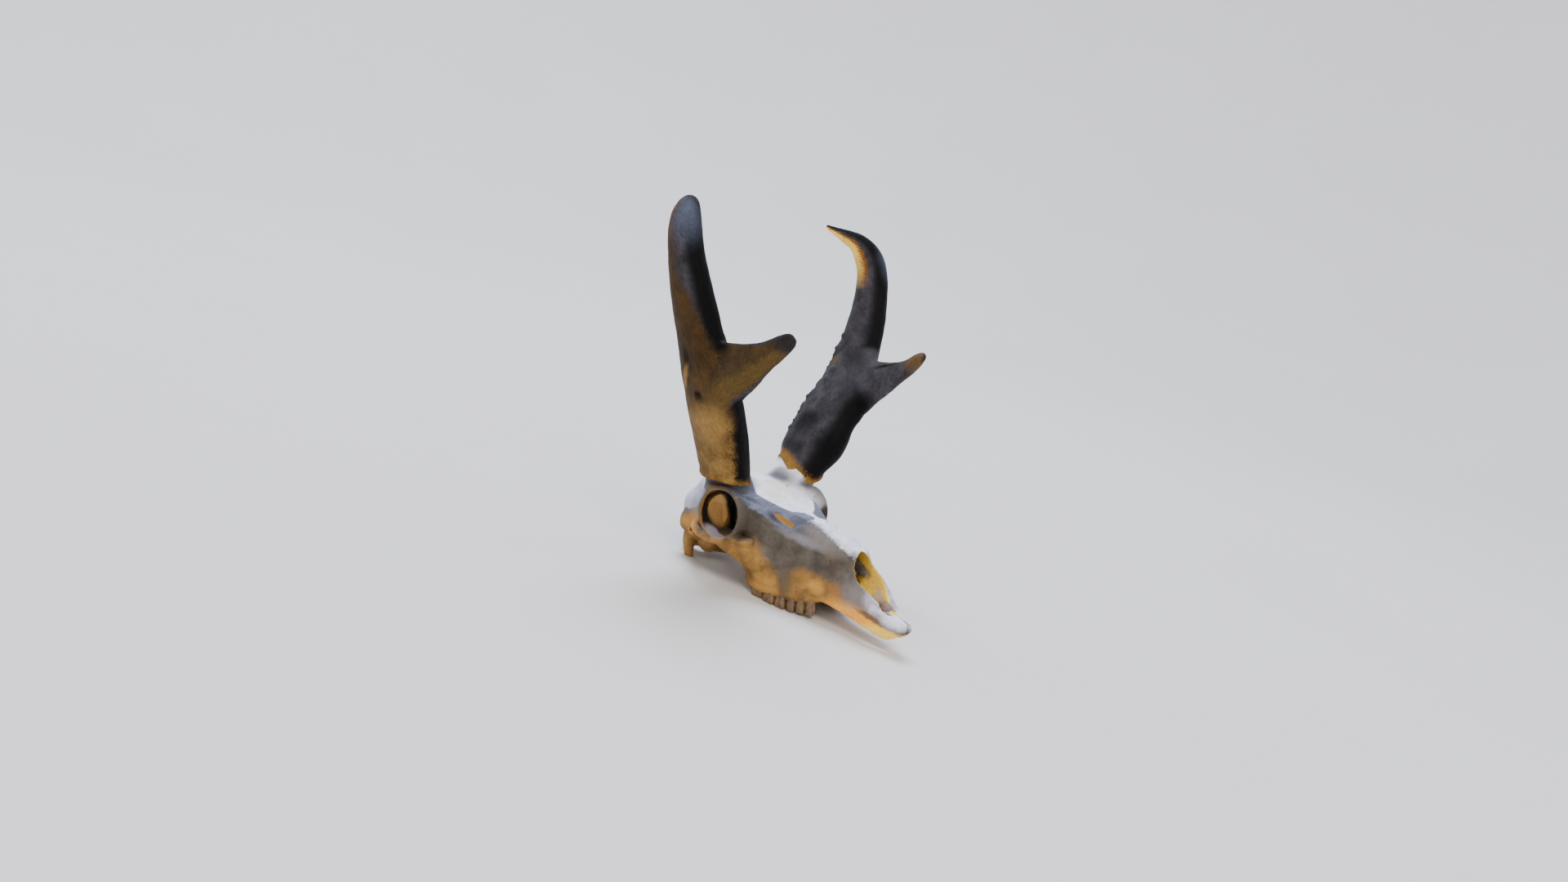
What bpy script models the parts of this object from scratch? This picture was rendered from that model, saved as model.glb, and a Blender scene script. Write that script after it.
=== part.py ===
# Skull of a male pronghorn, the American "antelope", with its two forked horn sheaths, life size.
# Metres, +Z up, muzzle towards -Y, the animal's left at +X. It has no lower jaw, and lies as such
# a skull does: on its molars and on the two processes behind the ears, with the muzzle in the air.
# The tables hold millimetres in the skull's own axes: x out from the middle, y back from the muzzle
# tip, z up from the level of the front teeth. The skull is tipped to its rest at the end.

import bpy
import bmesh
import numpy as np
from math import atan2, cos, pi, radians, sin, tau
from mathutils import Matrix, Vector

MM = 0.001
SIDES = {"left": 1, "right": -1}

# Driving sizes, millimetres and degrees
SUTURE_GAP = 0.3
REMESH_SIZE = 1.7
BONE_TRIANGLES = 6400
SHEATH_TRIANGLES = 1100
ORBIT = (68.0, 189.0, 82.0)             # centre of the eye's opening
ORBIT_RADIUS = 23.3
ORBIT_RIM = 4.6                         # thickness of the bony ring round it
PROCESS_TIP = (30.5, 262.0, 23.3)       # what the skull lies on at the back
REST_TOOTH = (143.0, 2.7)               # y and z of the molar it lies on
WORN_FLAT = 0.7                         # depth of the small flats where it touches the floor
SHEATH_BASE = (52.0, 202.0)
SHEATH_BASE_LEVEL = {"left": 123.0, "right": 117.0}
SHEATH_BASE_SLOPE = (-0.46, 0.2)        # fall of the rim outwards, rise backwards
FORK = (161.0, 252.5)                   # y and z of the fork, where the three lengths of a horn meet
FORK_FALL = 0.22                        # fall of the cut behind the fork
PRONG_HEEL = (147.0, 196.0)             # y and z of the prong's lower root
PRONG_LEAN = 0.45                       # how far its sections lean out, as the shaft does behind them

# Teeth from front to back: length along the row, width, number of lobes
TEETH = [(8.5, 7.5, 1), (9.5, 9.0, 1), (9.5, 10.0, 1), (12.5, 11.5, 2), (14.5, 12.0, 2), (15.0, 11.0, 2)]
TOOTH_ROW_START = 93.0
TOOTH_ROW_HALF_WIDTH = (23.5, 35.0)     # from the middle of the palate, first tooth and widest
CROWN_HEIGHT = 9.5

# Colour and roughness of each kind of bone and horn
FINISH = {
    "premaxilla": ((0.55, 0.50, 0.45), 0.6),
    "nasal": ((0.66, 0.66, 0.70), 0.55),
    "maxilla": ((0.42, 0.34, 0.26), 0.6),
    "brow": ((0.58, 0.57, 0.59), 0.55),
    "cheekbone": ((0.48, 0.34, 0.18), 0.6),
    "braincase": ((0.50, 0.45, 0.42), 0.6),
    "horn_shaft": ((0.16, 0.11, 0.07), 0.5),
    "horn_prong": ((0.13, 0.10, 0.08), 0.5),
    "horn_tip": ((0.06, 0.06, 0.07), 0.45),
}

# Sections of the face: y, top z, ridge x z, side x z, edge x z, floor z
FACE = [
    (0, 12, 4, 11.5, 6.5, 8, 5, 4, 4),
    (6, 14, 6, 13, 9.5, 7, 7, -1, 1),
    (15, 17, 8, 15, 12, 5, 9, -5.5, -2),
    (26, 21, 9, 19, 13.5, 7, 10, -5, 0),
    (38, 31, 13, 29, 15.5, 11, 12, -1, 4),
    (50, 41, 14, 38, 17, 17, 14, 3, 8),
    (59, 55, 13.5, 50, 18, 26, 16, 6, 12),
    (64, 68, 10, 65, 18.5, 32, 17, 8, 14),
    (76, 75, 11, 71, 20.5, 40, 20, 12, 17),
    (91, 80, 14, 73, 24, 46, 25, 16, 20),
    (108, 85, 20, 75, 30, 49, 31, 17, 22),
    (126, 89, 27, 77, 36.5, 52, 38, 17, 23),
    (142, 94, 31, 84, 42, 56, 42, 19, 24),
    (156, 100, 38, 89, 46, 66, 43, 22, 25),
    (168, 105, 48, 94, 50, 76, 36, 28, 30),
    (178, 108, 54, 99, 52, 80, 22, 40, 42),
]

# Sections between the eyes and over the brain, the same columns
CRANIUM = [
    (158, 100, 30, 95, 28, 74, 18, 44, 38),
    (176, 108, 50, 101, 34, 80, 16, 44, 40),
    (194, 114, 46, 107, 26, 80, 15, 44, 40),
    (210, 117, 38, 113, 28, 82, 16, 44, 40),
    (224, 117, 35, 112, 37, 82, 24, 46, 38),
    (238, 116, 34, 111, 43, 81, 30, 46, 34),
    (252, 113, 33, 107, 42, 77, 31, 44, 32),
    (262, 105, 29, 98, 38, 71, 28, 42, 32),
    (270, 94, 22, 86, 32, 62, 22, 42, 33),
]

# Forms swept along a curve, left side: x, y, z, half width, half height
SIDE_FORMS = {
    "brow": [(40, 176, 96, 12, 7), (58, 184, 101, 11, 7), (62, 200, 104, 10, 7),
             (50, 216, 104, 11, 8), (32, 226, 104, 10, 8)],
    "pedicle": [(31, 204, 90, 25, 33), (41, 203, 106, 20, 29.5), (49, 202, 118, 18, 27.5),
                (60, 200, 140, 17.5, 27.5)],
    "orbit_cup": [(26, 192, 81, 21, 21), (40, 191, 81.5, 25.5, 25.5), (56, 190, 82, 27.5, 27.5),
                  (*ORBIT, ORBIT_RADIUS + ORBIT_RIM, ORBIT_RADIUS + ORBIT_RIM)],
    "cheek": [(27, 110, 40, 2, 4), (35, 126, 39, 4, 10), (42, 142, 41, 5, 13), (49.5, 158, 46, 5, 13),
              (57, 173, 51, 5.5, 10), (64, 187, 55, 5, 6)],
    "arch": [(66, 184, 56, 4, 5), (67, 200, 56.5, 3.4, 5.5), (64, 216, 58, 3.2, 5.5), (57, 230, 60, 3.6, 5),
             (47, 240, 61, 6, 5), (36, 245, 60, 8, 7)],
    "alveolus": [(21, 88, 19, 5, 5), (25, 104, 16, 7, 7), (29.5, 122, 16, 8.5, 8), (33, 142, 17, 9, 8),
                 (33.5, 160, 19, 8.5, 9), (33, 172, 24, 6, 9)],
    "tuber": [(34, 156, 30, 9, 12), (32, 168, 34, 9, 14), (27, 178, 40, 9, 14)],
    "bulla": [(22, 232, 42, 5, 5), (23, 243, 40, 8, 9.5), (24, 254, 42, 5, 6)],
    "ear": [(28, 246, 50, 7, 7), (40, 248, 53, 6, 6), (46, 248, 55, 5, 5)],
    "mastoid": [(30, 254, 66, 8, 12), (35, 262, 62, 7, 13), (33, 266, 52, 7, 10)],
    "paroccipital": [(30, 262, 52, 7.5, 9), (31, 264, 42, 6, 8), (31, 263.5, 32, 4.6, 6.6),
                     (30.5, 262, 21, 3.6, 5.2)],
    "condyle": [(8, 266, 46, 8, 9), (13, 277, 42, 9, 12), (14, 284, 40, 6.5, 9.5)],
    "pterygoid": [(13, 166, 34, 3.4, 12), (12, 182, 38, 3.4, 14), (11, 200, 38, 3.4, 13),
                  (11, 216, 40, 4, 8)],
}

MIDLINE_FORMS = {
    "nuchal_crest": [(-38, 260, 62, 4, 4), (-31, 271, 84, 4, 4), (0, 271, 100, 5, 4), (31, 271, 84, 4, 4),
                     (38, 260, 62, 4, 4)],
    "basis": [(0, 190, 44, 8, 6), (0, 220, 40, 11, 7), (0, 246, 36, 14, 7), (0, 270, 37, 16, 8)],
}

# Hollows cut from them, the same columns
SIDE_HOLLOWS = {
    "orbit": [(92, 188, 82, 24, 24), (*ORBIT, ORBIT_RADIUS, ORBIT_RADIUS), (56, 190, 82, 23.8, 23.8),
              (42, 192, 80, 22, 22), (31, 197, 78, 15, 17), (24, 202, 76, 6, 8)],
    "temporal": [(53, 242, 84, 9, 17), (51, 228, 82, 10, 18), (48, 215, 80, 11, 19), (45, 205, 78, 10, 18)],
    "under_orbit": [(36, 190, 45, 12, 12), (42, 202, 48, 16, 16), (44, 216, 50, 14, 16)],
    "vacuity": [(22, 123, 82, 1.5, 3), (25, 130, 82, 2.4, 8), (28, 141, 84, 3, 9), (30, 150, 90, 1.6, 5)],
    "fissure": [(5.4, 18, 4, 1.8, 14), (6.4, 30, 6, 2.8, 18), (7, 44, 9, 3.2, 18), (7, 55, 12, 2, 12)],
}

MIDLINE_HOLLOWS = {
    "nose": [(0, 12, 43, 2.5, 25), (0, 24, 42, 6, 28), (0, 38, 43, 8.5, 28), (0, 50, 43, 10, 25),
             (0, 60, 41, 10, 22), (0, 76, 44.5, 13.5, 23.5), (0, 100, 49, 18, 26), (0, 125, 54, 23, 25),
             (0, 145, 60, 25, 21), (0, 158, 64, 14, 12)],
    "tip_notch": [(0, -6, 6, 2.6, 20), (0, 5, 6, 1.8, 20), (0, 12, 6, 1.2, 20)],
    "choana": [(0, 226, 20, 7, 12), (0, 204, 26, 8, 12), (0, 184, 32, 9, 11), (0, 160, 40, 8, 9)],
    "foramen_magnum": [(0, 298, 53, 11, 11), (0, 276, 55, 10.5, 10), (0, 252, 60, 13, 13)],
}

# Horn sheath, left side: x, y, z, half thickness, half depth
SHAFT = [
    (40, 205, 92, 19.5, 28),
    (52, 202, 118, 20, 29),
    (66, 198, 149, 20.5, 33),
    (84, 193, 182, 20, 35),
    (102, 189, 215, 18, 33),
    (118, 190, 251, 16, 27),
    (131, 193, 287, 15.5, 23.5),
    (139, 197, 319, 15, 19.5),
    (140.5, 201, 344, 14, 17.5),
    (136, 207, 361, 12.5, 15.5),
    (127, 214, 372, 10, 11),
    (113, 224, 379, 6, 7),
    (96, 236, 386, 2, 2.4),
]
PRONG = [
    (103, 190, 214, 9, 24),
    (105, 169, 219, 12, 31),
    (105, 148, 225, 11, 23),
    (104, 123, 236.5, 9, 13.5),
    (102, 105, 246, 7.5, 10),
    (101, 94, 253, 5, 6),
    (101, 88, 255, 2, 2.4),
]

# Where the bones meet, in side view (y, z), and the reach in x of the left one of each pair
BONES = {
    "nasal": ([(58, 60), (104, 74), (151, 86), (155, 140), (56, 140)], 0.0, 12.0),
    "premaxilla": ([(-20, -20), (58, -20), (61, 10), (70, 40), (77, 66), (77, 90), (-20, 90)], 0.0, 30.0),
    "cheekbone": ([(149, 36), (170, 40), (234, 40), (226, 81), (163, 81)], 46.0, 90.0),
    "brow": ([(152, 150), (152, 92), (163, 81), (213, 81), (226, 92), (237, 104), (239, 150)], 0.0, 90.0),
    "maxilla": ([(40, -20), (184, -20), (184, 60), (163, 86), (152, 96), (40, 100)], 0.0, 60.0),
}


def clear_scene():
    for obj in list(bpy.data.objects):
        bpy.data.objects.remove(obj)


def through(rows, per_span):
    # Catmull-Rom curve through rows of any number of columns
    rows = np.array(rows, float)
    ends = [2 * rows[0] - rows[1], *rows, 2 * rows[-1] - rows[-2]]
    found = []
    for a, b, c, d in zip(ends, ends[1:], ends[2:], ends[3:]):
        for k in range(per_span):
            t = k / per_span
            found.append(0.5 * (2 * b + (c - a) * t + (2 * a - 5 * b + 4 * c - d) * t * t
                                + (3 * b - a - 3 * c + d) * t ** 3))
    found.append(rows[-1])
    return np.array(found)


def closed_through(points, count):
    # the same curve, closed on itself, as `count` points
    points = np.array(points, float)
    spans = len(points)
    found = []
    for k in range(count):
        place = k * spans / count
        i = int(place)
        t = place - i
        a, b, c, d = (points[(i + j) % spans] for j in (-1, 0, 1, 2))
        found.append(0.5 * (2 * b + (c - a) * t + (2 * a - 5 * b + 4 * c - d) * t * t
                            + (3 * b - a - 3 * c + d) * t ** 3))
    return found


def add_ring(bm, points):
    made = bmesh.ops.create_circle(bm, segments=len(points), radius=1.0)
    for vert, point in zip(made["verts"], points):
        vert.co = Vector(point) * MM
    return list(dict.fromkeys(edge for vert in made["verts"] for edge in vert.link_edges))


def add_loft(bm, rings):
    loops = [add_ring(bm, ring) for ring in rings]
    for a, b in zip(loops, loops[1:]):
        bmesh.ops.bridge_loops(bm, edges=a + b)
    for loop in (loops[0], loops[-1]):
        bmesh.ops.edgeloop_fill(bm, edges=loop)


def section_rings(table, sides=40, per_span=3):
    rings = []
    for y, top, rx, rz, wx, wz, ex, ez, low in through(table, per_span):
        half = [(rx, rz), (wx, wz), (ex, ez)]
        outline = [(0, top), *half, (0, low), *[(-x, z) for x, z in reversed(half)]]
        rings.append([(x, y, z) for x, z in closed_through(outline, sides)])
    return rings


def swept_rings(rows, sides=16, per_span=4, lean=0.0):
    # ellipses across a curve, their first half width lying as near to the x axis as it can;
    # `lean` slides their upper half outwards and the lower inwards
    path = through(rows, per_span)
    along = np.gradient(path[:, :3], axis=0)
    rings = []
    for (x, y, z, a, b), step in zip(path, along):
        step = Vector(step).normalized()
        u = Vector((1, 0, 0)) if abs(step.x) < 0.9 else Vector((0, 1, 0))
        u = (u - step * u.dot(step)).normalized()
        v = step.cross(u)
        centre = Vector((x, y, z))
        ring = [centre + u * a * cos(k * tau / sides) + v * b * sin(k * tau / sides) for k in range(sides)]
        for point in ring:
            point.x += lean * (point.z - z)
        rings.append(ring)
    return rings


def mirrored(rows):
    return [(-row[0], *row[1:]) for row in rows]


def mesh_object(name, bm):
    bmesh.ops.recalc_face_normals(bm, faces=bm.faces)
    mesh = bpy.data.meshes.new(name)
    bm.to_mesh(mesh)
    bm.free()
    obj = bpy.data.objects.new(name, mesh)
    bpy.context.scene.collection.objects.link(obj)
    return obj


def finish(obj, kind):
    colour, roughness = FINISH[kind]
    material = bpy.data.materials.new(obj.name)
    material.use_nodes = True
    shader = material.node_tree.nodes["Principled BSDF"]
    shader.inputs["Base Color"].default_value = (*colour, 1.0)
    shader.inputs["Roughness"].default_value = roughness
    obj.data.materials.clear()
    obj.data.materials.append(material)
    obj.data.shade_smooth()
    obj.data.set_sharp_from_angle(angle=radians(50))


def lofted(name, rings):
    bm = bmesh.new()
    add_loft(bm, rings)
    return mesh_object(name, bm)


def apply(obj):
    # replaces the object's mesh by what its modifiers make of it
    graph = bpy.context.evaluated_depsgraph_get()
    mesh = bpy.data.meshes.new_from_object(obj.evaluated_get(graph))
    obj.modifiers.clear()
    obj.data = mesh
    return obj


def remesh(obj):
    modifier = obj.modifiers.new("remesh", "REMESH")
    modifier.mode = "VOXEL"
    modifier.voxel_size = REMESH_SIZE * MM
    return apply(obj)


def smooth(obj, times):
    bm = bmesh.new()
    bm.from_mesh(obj.data)
    for _ in range(times):
        bmesh.ops.smooth_vert(bm, verts=bm.verts, factor=0.5,
                              use_axis_x=True, use_axis_y=True, use_axis_z=True)
    bm.to_mesh(obj.data)
    bm.free()
    return obj


def fused(name, parts):
    # gathers closed forms that overlap, for the remesh to make one skin of
    bm = bmesh.new()
    for part in parts:
        bm.from_mesh(part.data)
        bpy.data.objects.remove(part)
    return mesh_object(name, bm)


def copy_of(obj, name):
    copy = bpy.data.objects.new(name, obj.data.copy())
    bpy.context.scene.collection.objects.link(copy)
    return copy


def boolean(obj, other, operation):
    # by the manifold solver, as the exact one loses the skull at the nose and a maxilla at its suture
    modifier = obj.modifiers.new(operation, "BOOLEAN")
    modifier.operation = operation
    modifier.object = other
    modifier.solver = "MANIFOLD"
    apply(obj)
    bpy.data.objects.remove(other)
    return obj


def decimate(obj, triangles):
    modifier = obj.modifiers.new("decimate", "DECIMATE")
    modifier.ratio = triangles / sum(len(p.vertices) - 2 for p in obj.data.polygons)
    return apply(obj)


def keep_largest(obj):
    # keeps the largest closed surface and drops scraps and sealed hollows
    bm = bmesh.new()
    bm.from_mesh(obj.data)
    left = set(bm.verts)
    groups = []
    while left:
        reached = [left.pop()]
        group = set(reached)
        while reached:
            for edge in reached.pop().link_edges:
                for vert in edge.verts:
                    if vert in left:
                        left.remove(vert)
                        group.add(vert)
                        reached.append(vert)
        groups.append(group)
    largest = max(groups, key=lambda group: extent([vert.co for vert in group]))
    bmesh.ops.delete(bm, geom=[vert for vert in bm.verts if vert not in largest], context="VERTS")
    bmesh.ops.dissolve_degenerate(bm, dist=0.00001, edges=bm.edges)
    bmesh.ops.triangulate(bm, faces=bm.faces)
    bm.to_mesh(obj.data)
    bm.free()
    return obj


def extent(points):
    points = np.array(points)
    return float(np.prod(np.ptp(points, axis=0)))


def cut_by_plane(obj, point, normal, shift=0.0):
    # drops what lies on the normal's side of the plane and closes the cut
    bm = bmesh.new()
    bm.from_mesh(obj.data)
    normal = Vector(normal).normalized()
    cut = bmesh.ops.bisect_plane(bm, geom=[*bm.verts, *bm.edges, *bm.faces], clear_outer=True,
                                 plane_co=(Vector(point) + normal * shift) * MM, plane_no=normal)
    edges = [item for item in cut["geom_cut"] if isinstance(item, bmesh.types.BMEdge)]
    bmesh.ops.triangle_fill(bm, edges=edges, use_beauty=True, normal=normal)
    bmesh.ops.recalc_face_normals(bm, faces=bm.faces)
    bm.to_mesh(obj.data)
    bm.free()
    return obj


def grown(outline, by):
    # the outline moved out by `by` along each of its sides
    points = np.array(outline, float)
    area = sum(a[0] * b[1] - b[0] * a[1] for a, b in zip(points, np.roll(points, -1, axis=0)))
    turn = 1.0 if area > 0 else -1.0
    found = []
    for before, here, after in zip(np.roll(points, 1, axis=0), points, np.roll(points, -1, axis=0)):
        normals = []
        for a, b in ((before, here), (here, after)):
            step = (b - a) / np.linalg.norm(b - a)
            normals.append(np.array([step[1], -step[0]]) * turn)
        mid = normals[0] + normals[1]
        found.append(here + mid * by * 2 / mid.dot(mid))
    return found


def region(name, outline, low, high, by=0.0):
    # a block across the skull with the outline in side view
    bm = bmesh.new()
    points = grown(outline, by)
    add_loft(bm, [[(x, y, z) for y, z in points] for x in (low - by, high + by)])
    return mesh_object(name, bm)


def tooth(name, x, y, z, length, width, lobes):
    # a worn crown, its outer wall in as many folds as it has lobes
    rings = []
    for up, wide, long in ((0.0, 0.84, 0.95), (0.4, 0.98, 1.0), (2.2, 0.98, 1.0)):
        ring = []
        for k in range(12):
            turn = k * tau / 12
            across = cos(turn)
            along = sin(turn)
            square = (across ** 6 + along ** 6) ** (-1 / 6)
            fold = 1.0 - 0.08 * cos(lobes * pi * (along * square + 1.0))
            ring.append((x + wide * across * square * fold * width / 2,
                         y + long * along * square * length / 2, z + up * CROWN_HEIGHT))
        rings.append(ring)
    return lofted(name, rings)


def tooth_row(side):
    # one side's cheek teeth, on a row that bows outwards and rises behind
    sign = 1 if side == "left" else -1
    narrow, wide = TOOTH_ROW_HALF_WIDTH
    whole = sum(length for length, _, _ in TEETH)
    made = []
    start = 0.0
    for number, (length, width, lobes) in enumerate(TEETH):
        middle = start + length / 2
        y = TOOTH_ROW_START + middle
        x = narrow + (wide - narrow) * sin(radians(105) * middle / whole)
        rise = REST_TOOTH[1] * (max(0.0, y - 115.0) / (REST_TOOTH[0] - 115.0)) ** 2
        made.append(tooth(f"tooth_{side}_{number}", sign * x, y, rise, length * 1.01, width, lobes))
        start += length
    return made


def make_cranium():
    forms = [lofted("face", section_rings(FACE)), lofted("braincase", section_rings(CRANIUM))]
    for name, rows in SIDE_FORMS.items():
        forms += [lofted(name, swept_rings(table)) for table in (rows, mirrored(rows))]
    for name, rows in MIDLINE_FORMS.items():
        forms.append(lofted(name, swept_rings(rows)))
    skull = smooth(remesh(fused("skull", forms)), 4)
    for name, rows in SIDE_HOLLOWS.items():
        for table in (rows, mirrored(rows)):
            boolean(skull, lofted(name, swept_rings(table)), "DIFFERENCE")
    for name, rows in MIDLINE_HOLLOWS.items():
        boolean(skull, lofted(name, swept_rings(rows)), "DIFFERENCE")
    smooth(remesh(skull), 2)
    for side in SIDES:
        cut_by_plane(skull, *sheath_base(side), -SUTURE_GAP / 2)
    return decimate(skull, BONE_TRIANGLES)


def sheath_base(side):
    # a point and the upward normal of the tilted plane on which a sheath sits on its bone
    x, y = SHEATH_BASE
    outwards, backwards = SHEATH_BASE_SLOPE
    sign = SIDES[side]
    return (sign * x, y, SHEATH_BASE_LEVEL[side]), (-sign * outwards, -backwards, 1.0)


def part_bones(skull):
    # parts the skull at its sutures: each bone is cut out in turn, and the braincase is what is left
    bones = {}
    for kind, (outline, low, high) in BONES.items():
        for side, sign in SIDES.items():
            name = f"{kind}_{side}"
            reach = sorted((sign * (low + SUTURE_GAP / 2), sign * high))
            bone = copy_of(skull, name)
            boolean(bone, region("inside", outline, *reach), "INTERSECT")
            boolean(skull, region("outside", outline, *reach, SUTURE_GAP), "DIFFERENCE")
            bones[name] = keep_largest(bone)
    skull.name = "braincase"
    bones["braincase"] = keep_largest(skull)
    return bones


def add_teeth(maxilla, side):
    # joins one row of teeth to the bone they grow from
    teeth = bpy.data.collections.new(f"teeth_{side}")
    bpy.context.scene.collection.children.link(teeth)
    for crown in tooth_row(side):
        bpy.context.scene.collection.objects.unlink(crown)
        teeth.objects.link(crown)
    modifier = maxilla.modifiers.new("teeth", "BOOLEAN")
    modifier.operation = "UNION"
    modifier.operand_type = "COLLECTION"
    modifier.collection = teeth
    modifier.solver = "EXACT"
    apply(maxilla)
    for crown in list(teeth.objects):
        bpy.data.objects.remove(crown)
    bpy.data.collections.remove(teeth)
    return keep_largest(maxilla)


def make_horn(side):
    # one sheath, cut above its fork and in front of it into shaft, tip and prong
    forms = []
    for rows, lean in ((SHAFT, 0.0), (PRONG, PRONG_LEAN)):
        rows = rows if side == "left" else mirrored(rows)
        forms.append(lofted("sheath", swept_rings(rows, sides=24, lean=SIDES[side] * lean)))
    whole = fused(f"horn_{side}", forms)
    smooth(remesh(whole), 5)
    point, up = sheath_base(side)
    cut_by_plane(whole, point, [-value for value in up], -SUTURE_GAP / 2)
    decimate(whole, SHEATH_TRIANGLES)
    fork = (0, *FORK)
    above = Vector((0, FORK_FALL, 1))
    ahead = Vector((0, PRONG_HEEL[1] - FORK[1], FORK[0] - PRONG_HEEL[0]))
    pieces = {}
    for kind, cuts in (("shaft", (above, ahead)), ("prong", (above, -ahead)), ("tip", (-above,))):
        piece = copy_of(whole, f"horn_{kind}_{side}")
        for normal in cuts:
            cut_by_plane(piece, fork, normal, -SUTURE_GAP / 2)
        pieces[piece.name] = keep_largest(piece)
    bpy.data.objects.remove(whole)
    return pieces


def lay_down(pieces):
    # tips the skull up until molars and processes are level, and sets it on the floor, centred
    fall = PROCESS_TIP[2] - REST_TOOTH[1]
    pitch = atan2(fall, PROCESS_TIP[1] - REST_TOOTH[0])
    tip_up = Matrix.Rotation(-pitch, 4, "X")
    for piece in pieces:
        piece.data.transform(tip_up)
    points = np.array([vert.co for piece in pieces for vert in piece.data.vertices])
    low, high = points.min(axis=0), points.max(axis=0)
    floor = (tip_up @ Vector((0, *REST_TOOTH))).z + WORN_FLAT
    shift = Vector((-(low[0] + high[0]) / 2, -(low[1] + high[1]) / 2, -floor * MM))
    millimetres = [round(value / MM, 2) for value in shift]
    print("tipped up by", round(pitch, 5), "radians, then moved by", *millimetres, "mm")
    move = Matrix.Translation(shift)
    for piece in pieces:
        piece.data.transform(move)
        if min(vert.co.z for vert in piece.data.vertices) < 0:
            cut_by_plane(piece, (0, 0, 0), (0, 0, -1))
            keep_largest(piece)


clear_scene()
nodes = part_bones(make_cranium())
for side in SIDES:
    add_teeth(nodes[f"maxilla_{side}"], side)
    nodes.update(make_horn(side))
lay_down(list(nodes.values()))
for name, node in nodes.items():
    finish(node, name.removesuffix("_left").removesuffix("_right"))
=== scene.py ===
# Skull of a male pronghorn with its two forked horn sheaths, lying on a pale studio floor.
# Every bone and every length of horn is shaped again here at about a millimetre, over the solids of
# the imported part, and then painted with nodes.
# Tables hold millimetres in the skull's own axes: x out from the middle, y back from the muzzle tip,
# z up from the front teeth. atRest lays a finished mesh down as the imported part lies.

from contextlib import contextmanager
from functools import partial
from math import cos, pi, radians, sin, tau

import bpy
import bmesh
import numpy as np
from mathutils import Matrix, Vector, noise
from mathutils.bvhtree import BVHTree


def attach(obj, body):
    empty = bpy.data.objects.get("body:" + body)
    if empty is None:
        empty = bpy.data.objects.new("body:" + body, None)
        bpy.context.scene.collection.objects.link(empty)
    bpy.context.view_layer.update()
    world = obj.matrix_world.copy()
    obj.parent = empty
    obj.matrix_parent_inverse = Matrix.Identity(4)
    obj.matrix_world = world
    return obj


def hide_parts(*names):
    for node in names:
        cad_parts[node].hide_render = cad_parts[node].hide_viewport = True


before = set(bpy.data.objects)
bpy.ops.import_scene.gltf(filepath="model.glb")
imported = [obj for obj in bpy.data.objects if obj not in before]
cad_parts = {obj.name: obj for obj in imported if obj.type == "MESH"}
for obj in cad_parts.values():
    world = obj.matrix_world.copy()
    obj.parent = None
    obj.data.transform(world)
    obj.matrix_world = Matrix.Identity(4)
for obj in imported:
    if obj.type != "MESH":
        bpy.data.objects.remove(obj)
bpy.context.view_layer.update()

mm = 0.001
sides = {"Left": 1, "Right": -1}
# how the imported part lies: leaned by the pitch, radians, and then moved, mm
rest = {"pitch": 0.17141, "moved": (-0.01, -150.22, 21.03)}
restTurn = Matrix.Rotation(-rest["pitch"], 4, "X")
atRest = Matrix.Translation(Vector(rest["moved"]) * mm) @ restTurn @ Matrix.Scale(mm, 4)

boneGrain = 0.85      # size of the faces of bone, mm
hornGrain = 0.9       # and of horn


# Shapes

def between(a, b, c, d, t):
    # the place at share t of the way from b to c, on a smooth curve that comes from a and goes on to d
    return 0.5 * (2 * b + (c - a) * t + (2 * a - 5 * b + 4 * c - d) * t * t + (3 * b - a - 3 * c + d) * t ** 3)


def curveThrough(rows, perSpan):
    # a smooth curve through rows of any number of columns
    rows = np.array(rows, float)
    ends = [2 * rows[0] - rows[1], *rows, 2 * rows[-1] - rows[-2]]
    found = [between(*four, k / perSpan) for four in zip(ends, ends[1:], ends[2:], ends[3:])
             for k in range(perSpan)]
    return np.array([*found, rows[-1]])


def closedThrough(points, count):
    # and one that closes on itself
    points = np.array(points, float)
    found = []
    for k in range(count):
        i, t = divmod(k * len(points) / count, 1)
        found.append(between(*(points[(int(i) + j) % len(points)] for j in (-1, 0, 1, 2)), t))
    return found


def addTube(bm, rings, closed=(0, -1)):
    # joins rings of points in turn, and gives back the faces that close it at the named ones
    loops = []
    for ring in rings:
        made = bmesh.ops.create_circle(bm, segments=len(ring), radius=1.0)
        for vert, point in zip(made["verts"], ring):
            vert.co = point
        loops.append(list(dict.fromkeys(edge for vert in made["verts"] for edge in vert.link_edges)))
    for a, b in zip(loops, loops[1:]):
        bmesh.ops.bridge_loops(bm, edges=a + b)
    return [bmesh.ops.edgeloop_fill(bm, edges=loops[end])["faces"] for end in closed]


def linked(name, data):
    obj = bpy.data.objects.new(name, data)
    bpy.context.scene.collection.objects.link(obj)
    return obj


def meshObject(name, bm):
    bmesh.ops.recalc_face_normals(bm, faces=bm.faces)
    mesh = bpy.data.meshes.new(name)
    bm.to_mesh(mesh)
    bm.free()
    return linked(name, mesh)


@contextmanager
def opened(obj):
    # an object's mesh to change, which is then written back
    bm = bmesh.new()
    bm.from_mesh(obj.data)
    yield bm
    bm.to_mesh(obj.data)
    bm.free()


def loft(name, rings):
    bm = bmesh.new()
    addTube(bm, rings)
    return meshObject(name, bm)


def sectionRings(table, count=64, perSpan=6):
    rings = []
    for y, top, rx, rz, wx, wz, ex, ez, low in curveThrough(table, perSpan):
        half = [(rx, rz), (wx, wz), (ex, ez)]
        outline = [(0, top), *half, (0, low), *[(-x, z) for x, z in reversed(half)]]
        rings.append([(x, y, z) for x, z in closedThrough(outline, count)])
    return rings


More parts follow.
